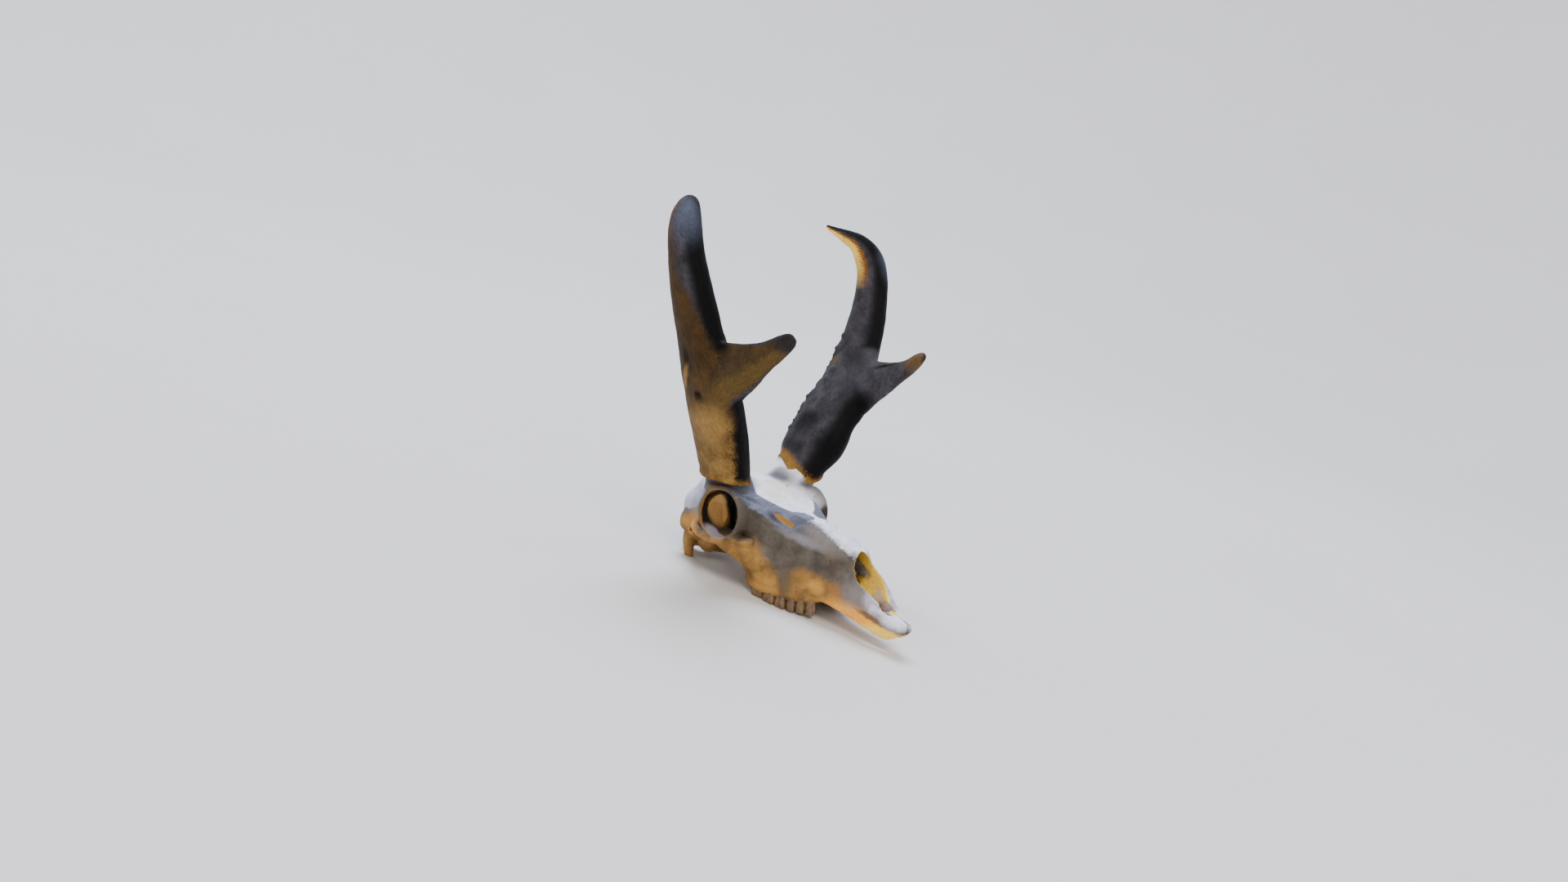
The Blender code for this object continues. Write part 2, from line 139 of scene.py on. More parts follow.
def sweptRings(rows, count=28, perSpan=8, lean=0.0):
    # ellipses across a curve: x, y, z, half width, half height. Lean slides their tops outwards.
    path = curveThrough(rows, perSpan)
    rings = []
    for (x, y, z, a, b), step in zip(path, np.gradient(path[:, :3], axis=0)):
        step = Vector(step).normalized()
        u = Vector((1, 0, 0)) if abs(step.x) < 0.9 else Vector((0, 1, 0))
        u = (u - step * u.dot(step)).normalized()
        v = step.cross(u)
        ring = [Vector((x, y, z)) + u * a * cos(k * tau / count) + v * b * sin(k * tau / count)
                for k in range(count)]
        for point in ring:
            point.x += lean * (point.z - z)
        rings.append(ring)
    return rings


def mirrored(rows):
    return [(-row[0], *row[1:]) for row in rows]


def swept(table, pair=True):
    # a loft along each row of the table, on both sides or once
    return [loft(name, sweptRings(way)) for name, rows in table.items()
            for way in ([rows, mirrored(rows)] if pair else [rows])]


def applied(obj):
    graph = bpy.context.evaluated_depsgraph_get()
    mesh = bpy.data.meshes.new_from_object(obj.evaluated_get(graph))
    obj.modifiers.clear()
    obj.data = mesh
    return obj


def fused(name, parts, grain):
    # closed forms that overlap, made one skin
    bm = bmesh.new()
    for part in parts:
        bm.from_mesh(part.data)
        bpy.data.objects.remove(part)
    obj = meshObject(name, bm)
    modifier = obj.modifiers.new("remesh", "REMESH")
    modifier.mode = "VOXEL"
    modifier.voxel_size = grain
    return applied(obj)


def relaxed(obj, times):
    with opened(obj) as bm:
        for _ in range(times):
            bmesh.ops.smooth_vert(bm, verts=bm.verts, factor=0.5,
                                  use_axis_x=True, use_axis_y=True, use_axis_z=True)
    return obj


def cut(obj, other, operation="DIFFERENCE"):
    modifier = obj.modifiers.new(operation, "BOOLEAN")
    modifier.operation = operation
    modifier.object = other
    modifier.solver = "MANIFOLD"
    applied(obj)
    bpy.data.objects.remove(other)
    return obj


def slicedBy(obj, point, normal, shift=0.0):
    # drops what lies on the normal's side and closes the cut
    normal = Vector(normal).normalized()
    with opened(obj) as bm:
        sliced = bmesh.ops.bisect_plane(bm, geom=[*bm.verts, *bm.edges, *bm.faces], clear_outer=True,
                                        plane_co=Vector(point) + normal * shift, plane_no=normal)
        edges = [item for item in sliced["geom_cut"] if isinstance(item, bmesh.types.BMEdge)]
        bmesh.ops.triangle_fill(bm, edges=edges, use_beauty=True, normal=normal)
        bmesh.ops.recalc_face_normals(bm, faces=bm.faces)


def largestOf(obj):
    # drops scraps and sealed hollows
    with opened(obj) as bm:
        left = set(bm.verts)
        groups = []
        while left:
            reached = [left.pop()]
            groups.append(set(reached))
            while reached:
                near = {vert for edge in reached.pop().link_edges for vert in edge.verts} & left
                left -= near
                groups[-1] |= near
                reached += near
        largest = max(groups, key=len)
        bmesh.ops.delete(bm, geom=[vert for vert in bm.verts if vert not in largest], context="VERTS")
    return obj


def pointsOf(obj, kind="co"):
    values = np.empty(len(obj.data.vertices) * 3, np.float32)
    obj.data.vertices.foreach_get(kind, values)
    return values.reshape(-1, 3).astype(float)


def movePoints(obj, points):
    obj.data.vertices.foreach_set("co", points.astype(np.float32).ravel())
    obj.data.update()


def onOneSide(points):
    # the same points, with those of the right side brought over to the left
    return np.column_stack([np.abs(points[:, 0]), points[:, 1:]])


def eased(value):
    value = np.clip(value, 0.0, 1.0)
    return value * value * (3 - 2 * value)


def grainAt(points, size, seed=0.0):
    # soft noise from -1 to 1 with lumps of about that size, mm
    return np.array([noise.noise(Vector(point) / size + Vector((seed, 0, 0))) for point in points])


def roughAt(points, layers):
    # noise of several sizes: height, size of the lumps, seed
    return sum(height * grainAt(points, size, seed) for height, size, seed in layers)


def spanTo(points, corners):
    # each point's distance from a line through the corners
    nearest = np.full(len(points), 1e9)
    for a, b in zip(np.array(corners[:-1], float), np.array(corners[1:], float)):
        along = np.clip((points - a) @ (b - a) / ((b - a) @ (b - a)), 0, 1)
        nearest = np.minimum(nearest, np.linalg.norm(points - a - along[:, None] * (b - a), axis=1))
    return nearest


def pushed(obj, strokes):
    # strokes of a soft tool on both sides: its middle and radii, or the corners of a line and its reach,
    # and how far it raises or sinks the surface
    points = pointsOf(obj)
    normals = pointsOf(obj, "normal")
    folded = onOneSide(points)
    for places, reach, push in strokes.values():
        if isinstance(places, list):
            away = spanTo(folded, places) / reach
        else:
            away = np.linalg.norm((folded - places) / np.array(reach), axis=1)
        points += normals * (push * eased(1.0 - away))[:, None]
    movePoints(obj, points)


# Bone

skullForms = {
    "sheathBase": (52.0, 202.0),
    "sheathLevel": {"Left": 123.0, "Right": 117.0},
    "sheathSlope": (-0.46, 0.2),
    "coreRise": 9.5,                # how far the bony core stands up into the sheath
    "rough": ((0.22, 7.0, 0.0), (0.1, 2.6, 5.0)),       # noise: height, size of the lumps, seed
    # y, top z, ridge x z, side x z, edge x z, floor z
    "face": [
        (0, 12, 4, 11.5, 6.5, 8, 5, 4, 4),
        (6, 14, 6, 13, 9.5, 7, 7, -1, 1),
        (15, 17, 8, 15, 12, 5, 9, -5.5, -2),
        (26, 21, 9, 19, 13.5, 7, 10, -5, 0),
        (38, 31, 14, 29, 16.3, 11, 12, -1, 4),
        (50, 41, 15.5, 38.5, 18.4, 17, 14, 3, 8),
        (59, 55, 15.2, 50, 19.2, 26, 16, 6, 12),
        (64, 68, 12, 65, 19.4, 32, 17, 8, 14),
        (76, 75, 12, 71, 20.7, 40, 20, 12, 17),
        (91, 80, 14, 73, 24, 46, 25, 16, 20),
        (108, 85, 20, 75, 30, 49, 31, 17, 22),
        (126, 89, 27, 77, 36.5, 52, 38, 17, 23),
        (142, 94, 31, 84, 42, 56, 42, 19, 24),
        (156, 100, 38, 89, 46, 66, 43, 22, 25),
        (168, 105, 48, 94, 50, 76, 36, 28, 30),
        (178, 108, 54, 99, 52, 80, 22, 40, 42),
    ],
    "cranium": [
        (158, 100, 30, 95, 28, 74, 18, 44, 38),
        (176, 108, 50, 101, 34, 80, 16, 44, 40),
        (194, 114, 46, 107, 26, 80, 15, 44, 40),
        (210, 117, 38, 113, 28, 82, 16, 44, 40),
        (224, 117, 35, 112, 37, 82, 24, 46, 38),
        (238, 116, 34, 111, 43, 81, 30, 46, 34),
        (252, 113, 33, 107, 42, 77, 31, 44, 32),
        (262, 105, 29, 98, 38, 71, 28, 42, 32),
        (270, 94, 22, 86, 32, 62, 22, 42, 33),
    ],
}

# what grows from the two lofts: x, y, z, half width, half height, on the left
sideForms = {
    "brow": [(40, 176, 96, 12, 7), (58, 184, 101, 11, 7), (62, 200, 104, 10, 7),
             (50, 216, 104, 11, 8), (32, 226, 104, 10, 8)],
    "lacrimal": [(32, 160, 84, 10, 14), (46, 170, 84, 9, 15), (57, 179, 84, 7, 15)],
    "pedicle": [(31, 204, 90, 25, 33), (41, 203, 106, 20, 29.5), (49, 202, 118, 18, 27.5),
                (61, 199.5, 140, 16.5, 26.5)],
    "orbitCup": [(26, 192, 81, 21, 21), (40, 191, 81.5, 25.5, 25.5), (56, 190, 82, 27.3, 27.3),
                 (69, 189, 82, 27.0, 27.0)],
    "cheek": [(27, 110, 40, 2, 4), (35, 126, 39, 4, 10), (42, 142, 41, 5, 13), (49.5, 158, 46, 5, 13),
              (57, 173, 51, 5.5, 10), (64, 187, 55, 5, 6)],
    "cheekRoot": [(50, 156, 57, 6, 5), (57, 165, 59, 6, 5), (62, 174, 60, 5, 5)],
    "arch": [(66, 184, 56, 4, 5), (67, 200, 56.5, 3.2, 5.2), (64, 216, 58, 3, 5), (57, 230, 60, 3.4, 5),
             (47, 240, 61, 6, 5), (36, 245, 60, 8, 7)],
    "alveolus": [(21, 88, 19, 5, 5), (25, 104, 16, 7, 7), (29.5, 122, 16, 8.5, 8), (33, 142, 17, 9, 8),
                 (33.5, 160, 19, 8.5, 9), (33, 172, 24, 6, 9)],
    "tuber": [(34, 156, 30, 9, 12), (32, 168, 34, 9, 14), (27, 178, 40, 9, 14)],
    "bulla": [(22, 232, 42, 5, 5), (23, 243, 40, 8, 9.5), (24, 254, 42, 5, 6)],
    "ear": [(28, 246, 50, 7, 7), (40, 248, 53, 6, 6), (46, 248, 55, 5, 5)],
    "mastoid": [(30, 254, 66, 8, 12), (35, 262, 62, 7, 13), (33, 266, 52, 7, 10)],
    "paroccipital": [(30, 262, 52, 7.5, 9), (31, 264, 42, 6, 8), (31, 263.5, 32, 4.6, 6.6),
                     (30.5, 262, 21, 3.6, 5.2)],
    "condyle": [(8, 266, 46, 8, 9), (13, 277, 42, 9, 12), (14, 284, 40, 6.5, 9.5)],
    "pterygoid": [(13, 166, 34, 3.4, 12), (12, 182, 38, 3.4, 14), (11, 200, 38, 3.4, 13),
                  (11, 216, 40, 4, 8)],
}
# what only the left side has
leftForms = {
    "noseRim": [(9, 69, 62, 2, 2.4), (11, 66, 59, 2.4, 2.6), (14, 57, 48.5, 3, 3), (15, 48, 40, 3.2, 3.2),
                (14.5, 40, 32.5, 3.4, 3.4), (12.5, 30, 21.5, 3.8, 3.8), (11, 23, 15.5, 4, 4),
                (9, 17, 10.5, 4, 3.6), (7, 9, 6.5, 3.4, 3)],
}
middleForms = {
    "nuchalCrest": [(-38, 260, 62, 4, 4), (-31, 271, 84, 3.6, 3.6), (0, 271, 100, 4.6, 3.6),
                    (31, 271, 84, 3.6, 3.6), (38, 260, 62, 4, 4)],
    "basis": [(0, 190, 44, 8, 6), (0, 220, 40, 11, 7), (0, 246, 36, 14, 7), (0, 270, 37, 16, 8)],
}
sideHollows = {
    "orbit": [(92, 188, 82, 24, 24), (69, 189, 82, 23.3, 23.3), (56, 190, 82, 23.8, 23.8),
              (42, 192, 80, 22, 22), (31, 197, 78, 15, 17), (24, 202, 76, 6, 8)],
    "temporal": [(53, 242, 84, 9, 17), (51, 228, 82, 10, 18), (48, 215, 80, 11, 19), (45, 205, 78, 10, 18)],
    "underOrbit": [(36, 190, 45, 12, 12), (42, 202, 48, 16, 16), (44, 216, 50, 14, 16)],
    "vacuity": [(25.0, 127.6, 77.4, 0.9, 1.0), (27.3, 132.9, 80.1, 1.6, 2.0), (29.8, 137.9, 82.7, 1.9, 2.4),
                (32.2, 143.2, 85.6, 1.6, 2.0), (34.4, 147.4, 87.6, 0.9, 1.0)],
    "fissure": [(5.4, 18, 4, 1.8, 14), (6.4, 30, 6, 2.8, 18), (7, 44, 9, 3.2, 18), (7, 55, 12, 2, 12)],
    "cheekForamen": [(34, 84, 51, 2.4, 2.4), (27, 79, 52, 2.2, 2.2), (19, 86, 54, 2.0, 2.0)],
    "browForamen": [(21, 182, 122, 1.8, 1.8), (22, 184, 108, 1.6, 1.6), (24, 188, 98, 1.4, 1.4)],
    "lipGroove": [(18.5, 46, 17, 1.8, 1.5), (17.2, 40, 14.5, 2.4, 1.9), (15.8, 30, 12, 2.6, 2.2),
                  (14.4, 20, 9.5, 2.6, 2.2), (12, 12, 8, 1.8, 1.6)],
    "earHole": [(54, 249, 56, 2.6, 2.6), (44, 248, 55, 2.6, 2.6), (34, 247, 54, 2, 2)],
    "tearHole": [(60, 172, 92, 1.5, 1.5), (50, 165, 90, 1.3, 1.3)],
    "palateHole": [(13, 118, 10, 1.7, 1.7), (12.5, 122, 24, 1.5, 1.5), (12, 128, 34, 1.2, 1.2)],
    "condyleHole": [(13, 262, 30, 1.6, 1.6), (12, 266, 44, 1.4, 1.4)],
}
middleHollows = {
    "nose": [(0, 12, 43, 3, 25), (0, 24, 42, 7.8, 28), (0, 38, 43, 12, 28), (0, 50, 43, 14.5, 25.5),
             (0, 60, 41, 15, 23), (0, 76, 44.5, 16, 24.5), (0, 100, 49, 19.5, 26), (0, 125, 54, 23, 25),
             (0, 145, 60, 25, 21), (0, 158, 64, 14, 12)],
    "tipNotch": [(0, -6, 6, 2.6, 20), (0, 5, 6, 1.8, 20), (0, 12, 6, 1.2, 20)],
    "choana": [(0, 226, 20, 7, 12), (0, 204, 26, 8, 12), (0, 184, 32, 9, 11), (0, 160, 40, 8, 9)],
    "brainHole": [(0, 298, 53, 11, 11), (0, 276, 55, 10.5, 10), (0, 252, 60, 13, 13)],
}
# thin scrolls and a middle wall inside the nose, put back after it is hollowed
innerForms = {
    "scroll": [(8.5, 61, 44, 1.6, 3.4), (9.2, 68, 47, 2.2, 6), (10.5, 82, 50, 3.2, 9),
               (12, 104, 54, 4.0, 11), (12, 132, 58, 4, 12)],
    "scrollRoot": [(13, 66, 42, 2.6, 1.4), (14, 74, 44, 3.4, 1.6), (16, 90, 47, 4.5, 1.6),
                   (20, 120, 52, 6, 1.6)],
    "lowerScroll": [(8.5, 66, 33, 1.6, 3), (9.5, 82, 36, 2.4, 5), (11, 116, 40, 3.2, 7)],
}
vomer = {"vomer": [(0, 34, 10, 1.5, 3), (0, 48, 16, 1.5, 5), (0, 70, 26, 1.5, 9), (0, 100, 34, 1.7, 12),
                   (0, 140, 46, 1.8, 14)]}

# dents and swellings: middle, radii, push
boneStrokes = {
    "cheek crest": ((47, 150, 40), (12, 26, 12), 1.2),
    "hollow over the crest": ((36, 118, 56), (16, 34, 12), -1.3),
    "front tooth root": ((24, 90, 27), (10, 20, 10), 0.9),
    "hollow behind the lip": ((20, 66, 24), (8, 18, 10), -0.8),
    "waist of the muzzle": ((19, 70, 46), (10, 16, 14), -0.6),
    "hollow over the brow": ((58, 205, 112), (16, 22, 6), -1.0),
    "temple": ((44, 240, 92), (14, 22, 14), -1.6),
    "lower temple": ((44, 250, 76), (12, 14, 12), -1.0),
    "crown": ((0, 214, 118), (26, 30, 10), 1.0),
    "dip before the horns": ((0, 180, 110), (24, 22, 10), -1.2),
    "occiput": ((0, 276, 78), (26, 12, 20), -1.6),
    "palate": ((0, 120, 21), (18, 50, 8), -1.8),
    "basin of the snout": ((0, 84, 78), (10, 30, 8), -0.4),
}
# lines that are raised or sunk along the surface: corners, reach, push
boneLines = {
    "ridge from the eye": ([(62, 172, 99), (56, 165, 93), (48, 160, 87), (42, 153, 81), (36, 141, 77),
                            (30, 128, 74)], 4.5, 0.9),
    "edge of the facet": ([(30, 128, 74), (22, 123, 80), (7, 120, 86)], 3.5, 0.5),
    "edge of the brow": ([(39, 178, 109), (35, 166, 99), (30, 155, 94), (20, 144, 91), (6, 136, 90)],
                         4.0, 0.6),
    "under the ridge": ([(50, 150, 66), (42, 134, 62), (32, 116, 64)], 14.0, -0.7),
    "lip edge": ([(20, 60, 20), (17, 45, 14), (14, 30, 9), (11, 14, 5)], 3.0, -0.6),
    "keel under the lip": ([(16, 50, 5), (12, 34, -1), (9, 20, -4)], 4.0, 0.6),
    "seam of the nose bones": ([(0, 150, 98), (0, 110, 87), (0, 66, 70)], 2.2, -0.5),
    "crown line": ([(6, 232, 118), (24, 236, 114), (38, 244, 106)], 3.5, 0.5),
}
# the plane facet between the eye, the slit in the face and the nose
facet = {"corners": ((53, 176, 99), (28.5, 127, 75), (11, 116, 86)), "depth": 0.8, "edge": 3.0, "reach": 9,
         "outline": ((54, 178, 99), (45, 163, 93), (35, 141, 82), (28.5, 126, 75), (15, 117, 84.5),
                     (11, 118, 87), (17, 134, 91), (24, 150, 95), (34, 166, 102))}

# outlines of the colours, drawn in side view (y, z) or from above (x, y), and the lowest z they reach,
# which may change with y
boneOutlines = {
    "ochre": ("side", -40, [
        (290, 64), (262, 66), (250, 72), (240, 72), (226, 62), (200, 60), (176, 60), (168, 63), (158, 61),
        (148, 55), (141, 46), (134, 39), (129, 31), (126, 23), (122, 17), (119, 20), (117, 28), (117, 36),
        (112, 40), (106, 41), (94, 39), (83, 36), (76, 34), (72, 29), (64, 21), (53, 16.5), (43, 13.5),
        (33, 9), (27, 5.5), (20, 2.5), (6, 0.5), (-10, 0), (-10, -20), (290, -20)]),
    # pale bone under painted cool light from above
    "bleached": ("side", -40, [
        (40, 62), (60, 60), (66, 63), (76, 67), (86, 72), (95, 76), (105, 81), (121, 86), (135, 84),
        (150, 88), (160, 96), (172, 104), (182, 112), (200, 114), (222, 113), (228, 100), (236, 86),
        (250, 77), (262, 74), (290, 76), (290, 160), (40, 160)]),
    "frontal": ("above", 84, [
        (-5, 112), (6, 112), (14, 126), (24, 142), (31, 156), (35, 170), (40, 184), (44, 196), (48, 216),
        (42, 236), (20, 246), (-5, 246)]),
    "facet": ("above", [(118, 72), (128, 73.5), (139, 76.5), (147, 80.5), (155, 85.5), (164, 91.5), (168, 97),
                        (174, 102), (180, 107)], [
        (66, 174), (57, 165), (48, 161), (42, 153), (36, 141), (30, 127.5), (22, 123), (7, 119.5), (2, 123),
        (5, 133), (17, 141), (26, 149), (31, 156), (34, 164), (36, 173), (40, 179), (50, 184), (66, 184)]),
    "lip": ("side", -40, [
        (-10, 8), (5, 8), (18, 10.5), (30, 12.5), (38, 17), (42, 24), (42, 32), (40, 40), (35, 50),
        (-10, 40)]),
}

# where the bones meet, in side view (y, z), and how far the left one of a pair reaches in x
seams = {
    "nasal": ([(58, 60), (104, 74), (151, 86), (155, 140), (56, 140)], 0.0, 12.0),
    "premaxilla": ([(-20, -20), (58, -20), (61, 10), (70, 40), (77, 66), (77, 90), (-20, 90)], 0.0, 30.0),
    "cheekbone": ([(149, 36), (170, 40), (234, 40), (226, 81), (163, 81)], 46.0, 90.0),
    "brow": ([(152, 150), (152, 92), (163, 81), (213, 81), (226, 92), (237, 104), (239, 150)], 0.0, 90.0),
    "maxilla": ([(40, -20), (184, -20), (184, 60), (163, 86), (152, 96), (40, 100)], 0.0, 60.0),
}
# a seam's width, and its wandering, which dies away over a sixth of each stretch at both ends
seamLook = {"gap": 0.12, "step": 1.6, "wander": 0.9, "lump": 2.4, "calmEnds": 6}
# how near a hollow's wall a point lies that takes its colour, how that fades, how far it may face away
wallLook = {"reach": 1.6, "start": 1.45, "fade": 1.1, "slack": 0.3, "sharp": 2.0}


def sheathPlane(side):
    x, y = skullForms["sheathBase"]
    outwards, backwards = skullForms["sheathSlope"]
    sign = sides[side]
    return (sign * x, y, skullForms["sheathLevel"][side]), (-sign * outwards, -backwards, 1.0)


def wallOf(obj, hollows):
    # 1 on the walls of the hollows, fading out past their rims
    share = np.zeros(len(obj.data.vertices))
    for number, vert in enumerate(obj.data.vertices):
        for tree in hollows:
            place, outwards, _, gap = tree.find_nearest(vert.co, wallLook["reach"])
            if place is not None:
                turned = wallLook["slack"] - wallLook["sharp"] * vert.normal.dot(outwards)
                facing = min(1.0, max(0.0, turned))
                near = min(1.0, wallLook["start"] - gap / wallLook["fade"])
                share[number] = max(share[number], facing * near)
    return share


def depthInside(points, outline):
    # how far each flat point lies inside the outline, less than nothing outside
    inside = np.zeros(len(points), bool)
    for (px, py), (qx, qy) in zip(outline, np.roll(outline, -1, axis=0)):
        crosses = (py > points[:, 1]) != (qy > points[:, 1])
        inside ^= crosses & (points[:, 0] < px + (points[:, 1] - py) / (qy - py + 1e-12) * (qx - px))
    span = spanTo(points, [*outline, outline[0]])
    return np.where(inside, span, -span)


def flattenFacet(obj):
    # presses the facet into a plane with a firm edge, on both sides
    a, b, c = (np.array(corner, float) for corner in facet["corners"])
    normal = np.cross(c - a, b - a)
    normal /= np.sign(normal[0]) * np.linalg.norm(normal)
    across = (b - a) / np.linalg.norm(b - a)
    axes = np.stack([across, np.cross(normal, across)], axis=1)
    outline = (np.array(facet["outline"], float) - a) @ axes
    points = pointsOf(obj)
    folded = onOneSide(points) - a
    height = folded @ normal
    weight = eased(depthInside(folded @ axes, outline) / facet["edge"]) * (np.abs(height) < facet["reach"])
    move = -((height + facet["depth"]) * weight)[:, None] * normal
    move[:, 0] *= np.sign(points[:, 0])
    movePoints(obj, points + move)


def keptOn(obj, name, values):
    # stores a number or a vector for each point, for the material to read
    kind, field = ("FLOAT", "value") if values.ndim == 1 else ("FLOAT_VECTOR", "vector")
    layer = obj.data.attributes.new(name, kind, "POINT")
    layer.data.foreach_set(field, values.astype(np.float32).ravel())


def outlined(obj, outlines):
    # keeps how far each point lies inside each outline, mm
    points = onOneSide(pointsOf(obj))
    for name, (seen, lowest, outline) in outlines.items():
        flat = points[:, 1:] if seen == "side" else points[:, :2]
        if isinstance(lowest, list):
            lowest = np.interp(points[:, 1], *np.array(lowest, float).T)
        keptOn(obj, name, np.clip(np.minimum(depthInside(flat, outline), points[:, 2] - lowest), -20, 20))


def seamOutline(outline, by):
    # the outline moved out by a little and made to wander as a seam in bone does
    points = np.array(outline, float)
    pairs = list(zip(points, np.roll(points, -1, axis=0)))
    turn = 1.0 if sum(a[0] * b[1] - b[0] * a[1] for a, b in pairs) > 0 else -1.0
    found = []
    for a, b in pairs:
        length = np.linalg.norm(b - a)
        normal = np.array([b[1] - a[1], a[0] - b[0]]) / length * turn
        count = max(2, int(length / seamLook["step"]))
        for k in range(count):
            here = a + (b - a) * k / count
            calm = eased(seamLook["calmEnds"] * min(k / count, 1 - k / count))
            wander = noise.noise(Vector((here[0], here[1], 3.0)) / seamLook["lump"]) * seamLook["wander"] * calm
            found.append(here + normal * (by + wander))
    return found


def seamBlock(outline, low, high, by):
    return loft("block", [[(x, y, z) for y, z in seamOutline(outline, by)] for x in (low - by, high + by)])


def makeSkull():
    forms = [loft(name, sectionRings(skullForms[name])) for name in ("face", "cranium")]
    forms += swept(sideForms) + swept(middleForms | leftForms, pair=False)
    skull = relaxed(fused("skull", forms, boneGrain), times=10)
    print("skull fused,", len(skull.data.vertices), "points")
    pushed(skull, boneStrokes)
    flattenFacet(skull)
    pushed(skull, boneLines)
    walls = {}
    for tool in swept(sideHollows) + swept(middleHollows, pair=False):
        corners = [vert.co for vert in tool.data.vertices]
        wall = BVHTree.FromPolygons(corners, [face.vertices for face in tool.data.polygons])
        walls.setdefault(tool.name.partition(".")[0], []).append(wall)
        cut(skull, tool)
    print("skull hollowed")
    inner = [skull, *swept(innerForms), *swept(vomer, pair=False)]
    skull = relaxed(fused("skull", inner, boneGrain), times=3)
    points = pointsOf(skull)
    rough = roughAt(points, skullForms["rough"])
    movePoints(skull, points + pointsOf(skull, "normal") * rough[:, None])
    for side in sides:
        slicedBy(skull, *sheathPlane(side), shift=skullForms["coreRise"])
    print("skull finished,", len(skull.data.vertices), "points")
    return skull, walls


def partBones(skull):
    # each bone is taken out along its seam in turn, and the braincase is what is left
    bones = {}
    gap = seamLook["gap"]
    for kind, (outline, low, high) in seams.items():
        for side, sign in sides.items():
            reach = sorted((sign * (low + gap / 2), sign * high))
            bone = linked(kind + side, skull.data.copy())
            cut(bone, seamBlock(outline, *reach, 0.0), "INTERSECT")
            cut(skull, seamBlock(outline, *reach, gap))
            bones[bone.name] = (largestOf(bone), f"{kind}_{side.lower()}", kind)
    skull.name = "braincase"
    bones["braincase"] = (largestOf(skull), "braincase", "braincase")
    return bones


# Teeth

teethForms = {
    # length along the row, width, lobes, from front to back
    "crowns": [(8.5, 7.5, 1), (9.5, 9.0, 1), (9.5, 10.0, 1), (12.5, 11.5, 2), (14.5, 12.0, 2), (15.0, 11.0, 2)],
    # height over the worn face, shares of the width and length
    "levels": [(0.0, 0.86, 0.95), (0.8, 0.92, 0.975), (3.0, 0.97, 0.99), (6.5, 0.98, 0.97), (9.0, 0.9, 0.9),
               (11.0, 0.92, 0.9), (20.0, 0.8, 0.8)],
    "sharpness": 5,
    "folds": (0.07, 0.03),
    "rowStart": 93.0,
    "halfWidth": (23.5, 35.0),      # x of the row in front and where it stands widest
    "bow": radians(105),
    "risesAfter": 115.0,
    "restAt": (143.0, 2.7),         # y and z where the skull rests on the row
    "rim": 0.7,                     # breadth of the enamel, slope inside it and depth of the worn face
    "slope": 0.35,
    "worn": 0.7,
}


def toothRing(x, y, z, length, width, lobes, across, along, count=48):
    # a rounded square with folds at the ends of its lobes
    sharpness, (broad, fine) = teethForms["sharpness"], teethForms["folds"]
    ring = []
    for k in range(count):
        c, s = cos(k * tau / count), sin(k * tau / count)
        square = (abs(c) ** sharpness + abs(s) ** sharpness) ** (-1 / sharpness)
        turn = lobes * pi * (s * square + 1.0)
        fold = 1.0 - broad * cos(turn) - fine * cos(2 * turn)
        ring.append((x + across * c * square * fold * width / 2, y + along * s * square * length / 2, z))
    return ring


def makeTeeth(side):
    # a row that bows outwards and rises behind, each worn face hollowed inside its rim of enamel
    narrow, wide = teethForms["halfWidth"]
    whole = sum(length for length, _, _ in teethForms["crowns"])
    restY, restZ = teethForms["restAt"]
    bm = bmesh.new()
    start = 0.0
    for length, width, lobes in teethForms["crowns"]:
        middle = start + length / 2
        y = teethForms["rowStart"] + middle
        x = sides[side] * (narrow + (wide - narrow) * sin(teethForms["bow"] * middle / whole))
        rise = restZ * (max(0.0, y - teethForms["risesAfter"]) / (restY - teethForms["risesAfter"])) ** 2
        face, _ = addTube(bm, [toothRing(x, y, rise + up, length, width, lobes, across, along)
                               for up, across, along in teethForms["levels"]])
        bmesh.ops.inset_region(bm, faces=face, thickness=teethForms["rim"])
        bmesh.ops.inset_region(bm, faces=face, thickness=teethForms["slope"], depth=-teethForms["worn"])
        bmesh.ops.poke(bm, faces=face, offset=0.0)
        start += length
    return meshObject("teeth" + side, bm)


# Horn

